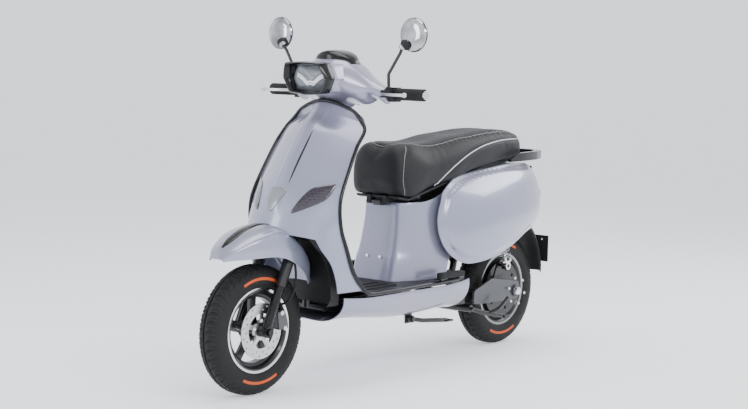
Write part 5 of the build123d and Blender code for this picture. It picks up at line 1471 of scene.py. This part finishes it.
def on_shield(points, lift):
    """Points (y, z) pushed back onto the shield from the front."""
    out = []
    for y, z in points:
        hit, normal, _, _ = shield_tree.ray_cast(Vector((F + 0.5, y, z)), Vector((-1, 0, 0)))
        if hit is not None:
            out.append(hit + normal * lift)
    return out


slot_points = on_shield([(0.0315, 0.862 - 0.168 * k / 40) for k in range(41)], -0.0010)
slot_mesh = tube("shield_slot", slot_points, lambda t: 0.0034 * math.sin(math.pi * min(max(t, 0.04), 0.96)) ** 0.3,
                 10)
piece("shield_slot", slot_mesh, TEXTURED_BLACK, "chassis")


def plate_on_shield(name, outline, lift, material, fine=10, covers=()):
    """A thin raised plate whose outline is drawn in (y, z) and laid on the shield."""
    rings = []
    loop = closed_line(outline, fine)
    mid_y = sum(y for y, _ in loop) / len(loop)
    mid_z = sum(z for _, z in loop) / len(loop)
    for share, rise in ((1.0, -0.004), (1.0, lift * 0.5), (0.97, lift * 0.9), (0.85, lift), (0.6, lift * 1.1),
                        (0.3, lift * 1.15), (0.02, lift * 1.15)):
        rings.append(on_shield([(mid_y + (y - mid_y) * share, mid_z + (z - mid_z) * share)
                                for y, z in loop], rise))
    mesh = recalculated(grid_mesh(name, rings, closed=True))
    shade(mesh, 45)
    mesh.materials.append(material)
    return mesh


HORN = [(0.0, 0.6780), (0.020, 0.6775), (0.0345, 0.6720), (0.034, 0.662), (0.020, 0.625), (0.008, 0.604),
        (0.0, 0.6005)]
horn_loop = HORN + [(-y, z) for y, z in reversed(HORN[1:-1])]
piece("horn_cover", plate_on_shield("horn_cover", horn_loop, 0.0035, SILVER), None, "chassis", "horn_grille")
BLADE = [(0.076, 0.599), (0.100, 0.606), (0.150, 0.634), (0.166, 0.654), (0.173, 0.690), (0.160, 0.693),
         (0.118, 0.681), (0.100, 0.662), (0.083, 0.628)]
blades = [plate_on_shield("blade", [(side * y, z) for y, z in BLADE], 0.0030, SMOKED) for side in (1, -1)]
piece("indicator_blades", joined("indicator_blades", blades), None, "chassis", "indicator_lenses")
print("horn cover and indicators laid on the shield")

# %% [markdown]
# Fasteners and caps finish the mechanical parts. They are few, so each is set by name: caliper
# bolts, bolts round the motor cover, the bright cap at the middle of the motor and two pillar screws.

# %% Fasteners
caliper_low, caliper_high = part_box("brake_caliper")
caliper_mid = (caliper_low + caliper_high) / 2
cover_low, cover_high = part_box("motor_cover")
bolts("caliper_bolts", [([(caliper_mid.x - 0.012, caliper_high.y + 0.0006, caliper_mid.z - 0.028),
                          (caliper_mid.x + 0.004, caliper_high.y + 0.0006, caliper_mid.z + 0.024)], (0, 1, 0))],
      0.0055, 0.007, CHROME, "fork_lower")
bolts("motor_cover_bolts", [(ring_of(REAR, 0.052, 6, cover_high.y + 0.0004, 0.26), (0, 1, 0))], 0.0040, 0.005,
      CHROME, "swingarm")
cap = lathe("axle_cap", REAR, [(0.0, cover_high.y + 0.011), (0.010, cover_high.y + 0.011),
                               (0.0145, cover_high.y + 0.009), (0.016, cover_high.y + 0.004),
                               (0.0165, cover_high.y - 0.006), (0.0, cover_high.y - 0.006)], 48)
piece("motor_axle_cap", cap, CHROME, "swingarm")
well_screws = [((R + 0.688, s * 0.062, 0.432), (0.99, s * 0.14, 0)) for s in (1, -1)]
bolts("pillar_screws", [([place], normal) for place, normal in well_screws], 0.0042, 0.0024, CHROME,
      "chassis")
print("fasteners set")

# %% [markdown]
# Some nodes hold several separate solids in different finishes, such as the bar with its bright
# end weights. Their loose solids are told apart by where they lie.

# %% Parts with two finishes


def refine_by_place(node, rule, degrees=30.0):
    """Finishes each loose solid of a node by a rule on its middle and size."""
    bm = merged(node)
    bm.verts.ensure_lookup_table()
    bm.faces.ensure_lookup_table()
    materials, seen = [], set()
    for seed in bm.faces:
        if seed.index in seen:
            continue
        island, stack = [], [seed]
        seen.add(seed.index)
        while stack:
            face = stack.pop()
            island.append(face)
            for edge in face.edges:
                for other in edge.link_faces:
                    if other.index not in seen:
                        seen.add(other.index)
                        stack.append(other)
        co = np.array([v.co for face in island for v in face.verts])
        low, high = co.min(0), co.max(0)
        material = rule(Vector((low + high) / 2), Vector(high - low))
        if material not in materials:
            materials.append(material)
        for face in island:
            face.material_index = materials.index(material)
    mesh = bpy.data.meshes.new(node + "_finished")
    bm.to_mesh(mesh)
    bm.free()
    shade(mesh, degrees)
    obj = piece(node + "_finished", mesh, None, own_body(node), node)
    for material in materials:
        mesh.materials.append(material)
    return obj


refine_by_place("handlebar", lambda c, size: CHROME if abs(c.y) > 0.3 else PAINTED_STEEL)
refine_by_place("front_wheel_rim", lambda c, size: PAINTED_STEEL if size.x > 0.2 else ALUMINIUM)
refine_by_place("hub_motor_wheel", lambda c, size: PAINTED_STEEL if size.x > 0.2 else ALUMINIUM)
refine_by_place("fork_sliders", lambda c, size: GLOSS_BLACK if size.z > 0.08 else CHROME)
refine_by_place("rear_mudguard", lambda c, size: TEXTURED_BLACK)

TAIL_FACE_X = R - 0.1505
tail = refine("tail_light", TEXTURED_BLACK)
tail.data.materials.append(SMOKED)
for face in tail.data.polygons:
    face.material_index = 1 if face.center.x < TAIL_FACE_X else 0
print("two-finish parts done")

# %% [markdown]
# ## Parts that keep their machined shape

# %% Give every other part its finish
FINISH = {
    PEARL: "headset_cover belly_pan inner_apron",
    GLOSS_BLACK: "grab_rail",
    TEXTURED_BLACK: ("floorboard wheel_arch_liner "
                     "helmet_bucket switch_pods seat_pan indicator_switch battery_pack"),
    PAINTED_STEEL: ("main_frame swingarm side_stand centre_stand steering_stem shock_bodies "
                    "mirror_stems"),
    GRIP_RUBBER: "floor_strips passenger_peg_left passenger_peg_right",
    ALUMINIUM: "brake_lever_left brake_lever_right motor_stator start_button horn_button",
    # the mirror shells get the chrome with painted reflections in its colour
    PAINTED_REFLECTION_CHROME: "mirror_left mirror_right",
    CHROME: "shock_rods head_bearings ignition_key body_screws",
    DISC_STEEL: "brake_disc",
    SILVER: "shock_springs",
    GRAPHITE: "motor_cover brake_caliper",
}
for material, names in FINISH.items():
    for node in names.split():
        refine(node, material)
print("finished", sum(len(n.split()) for n in FINISH.values()), "parts")
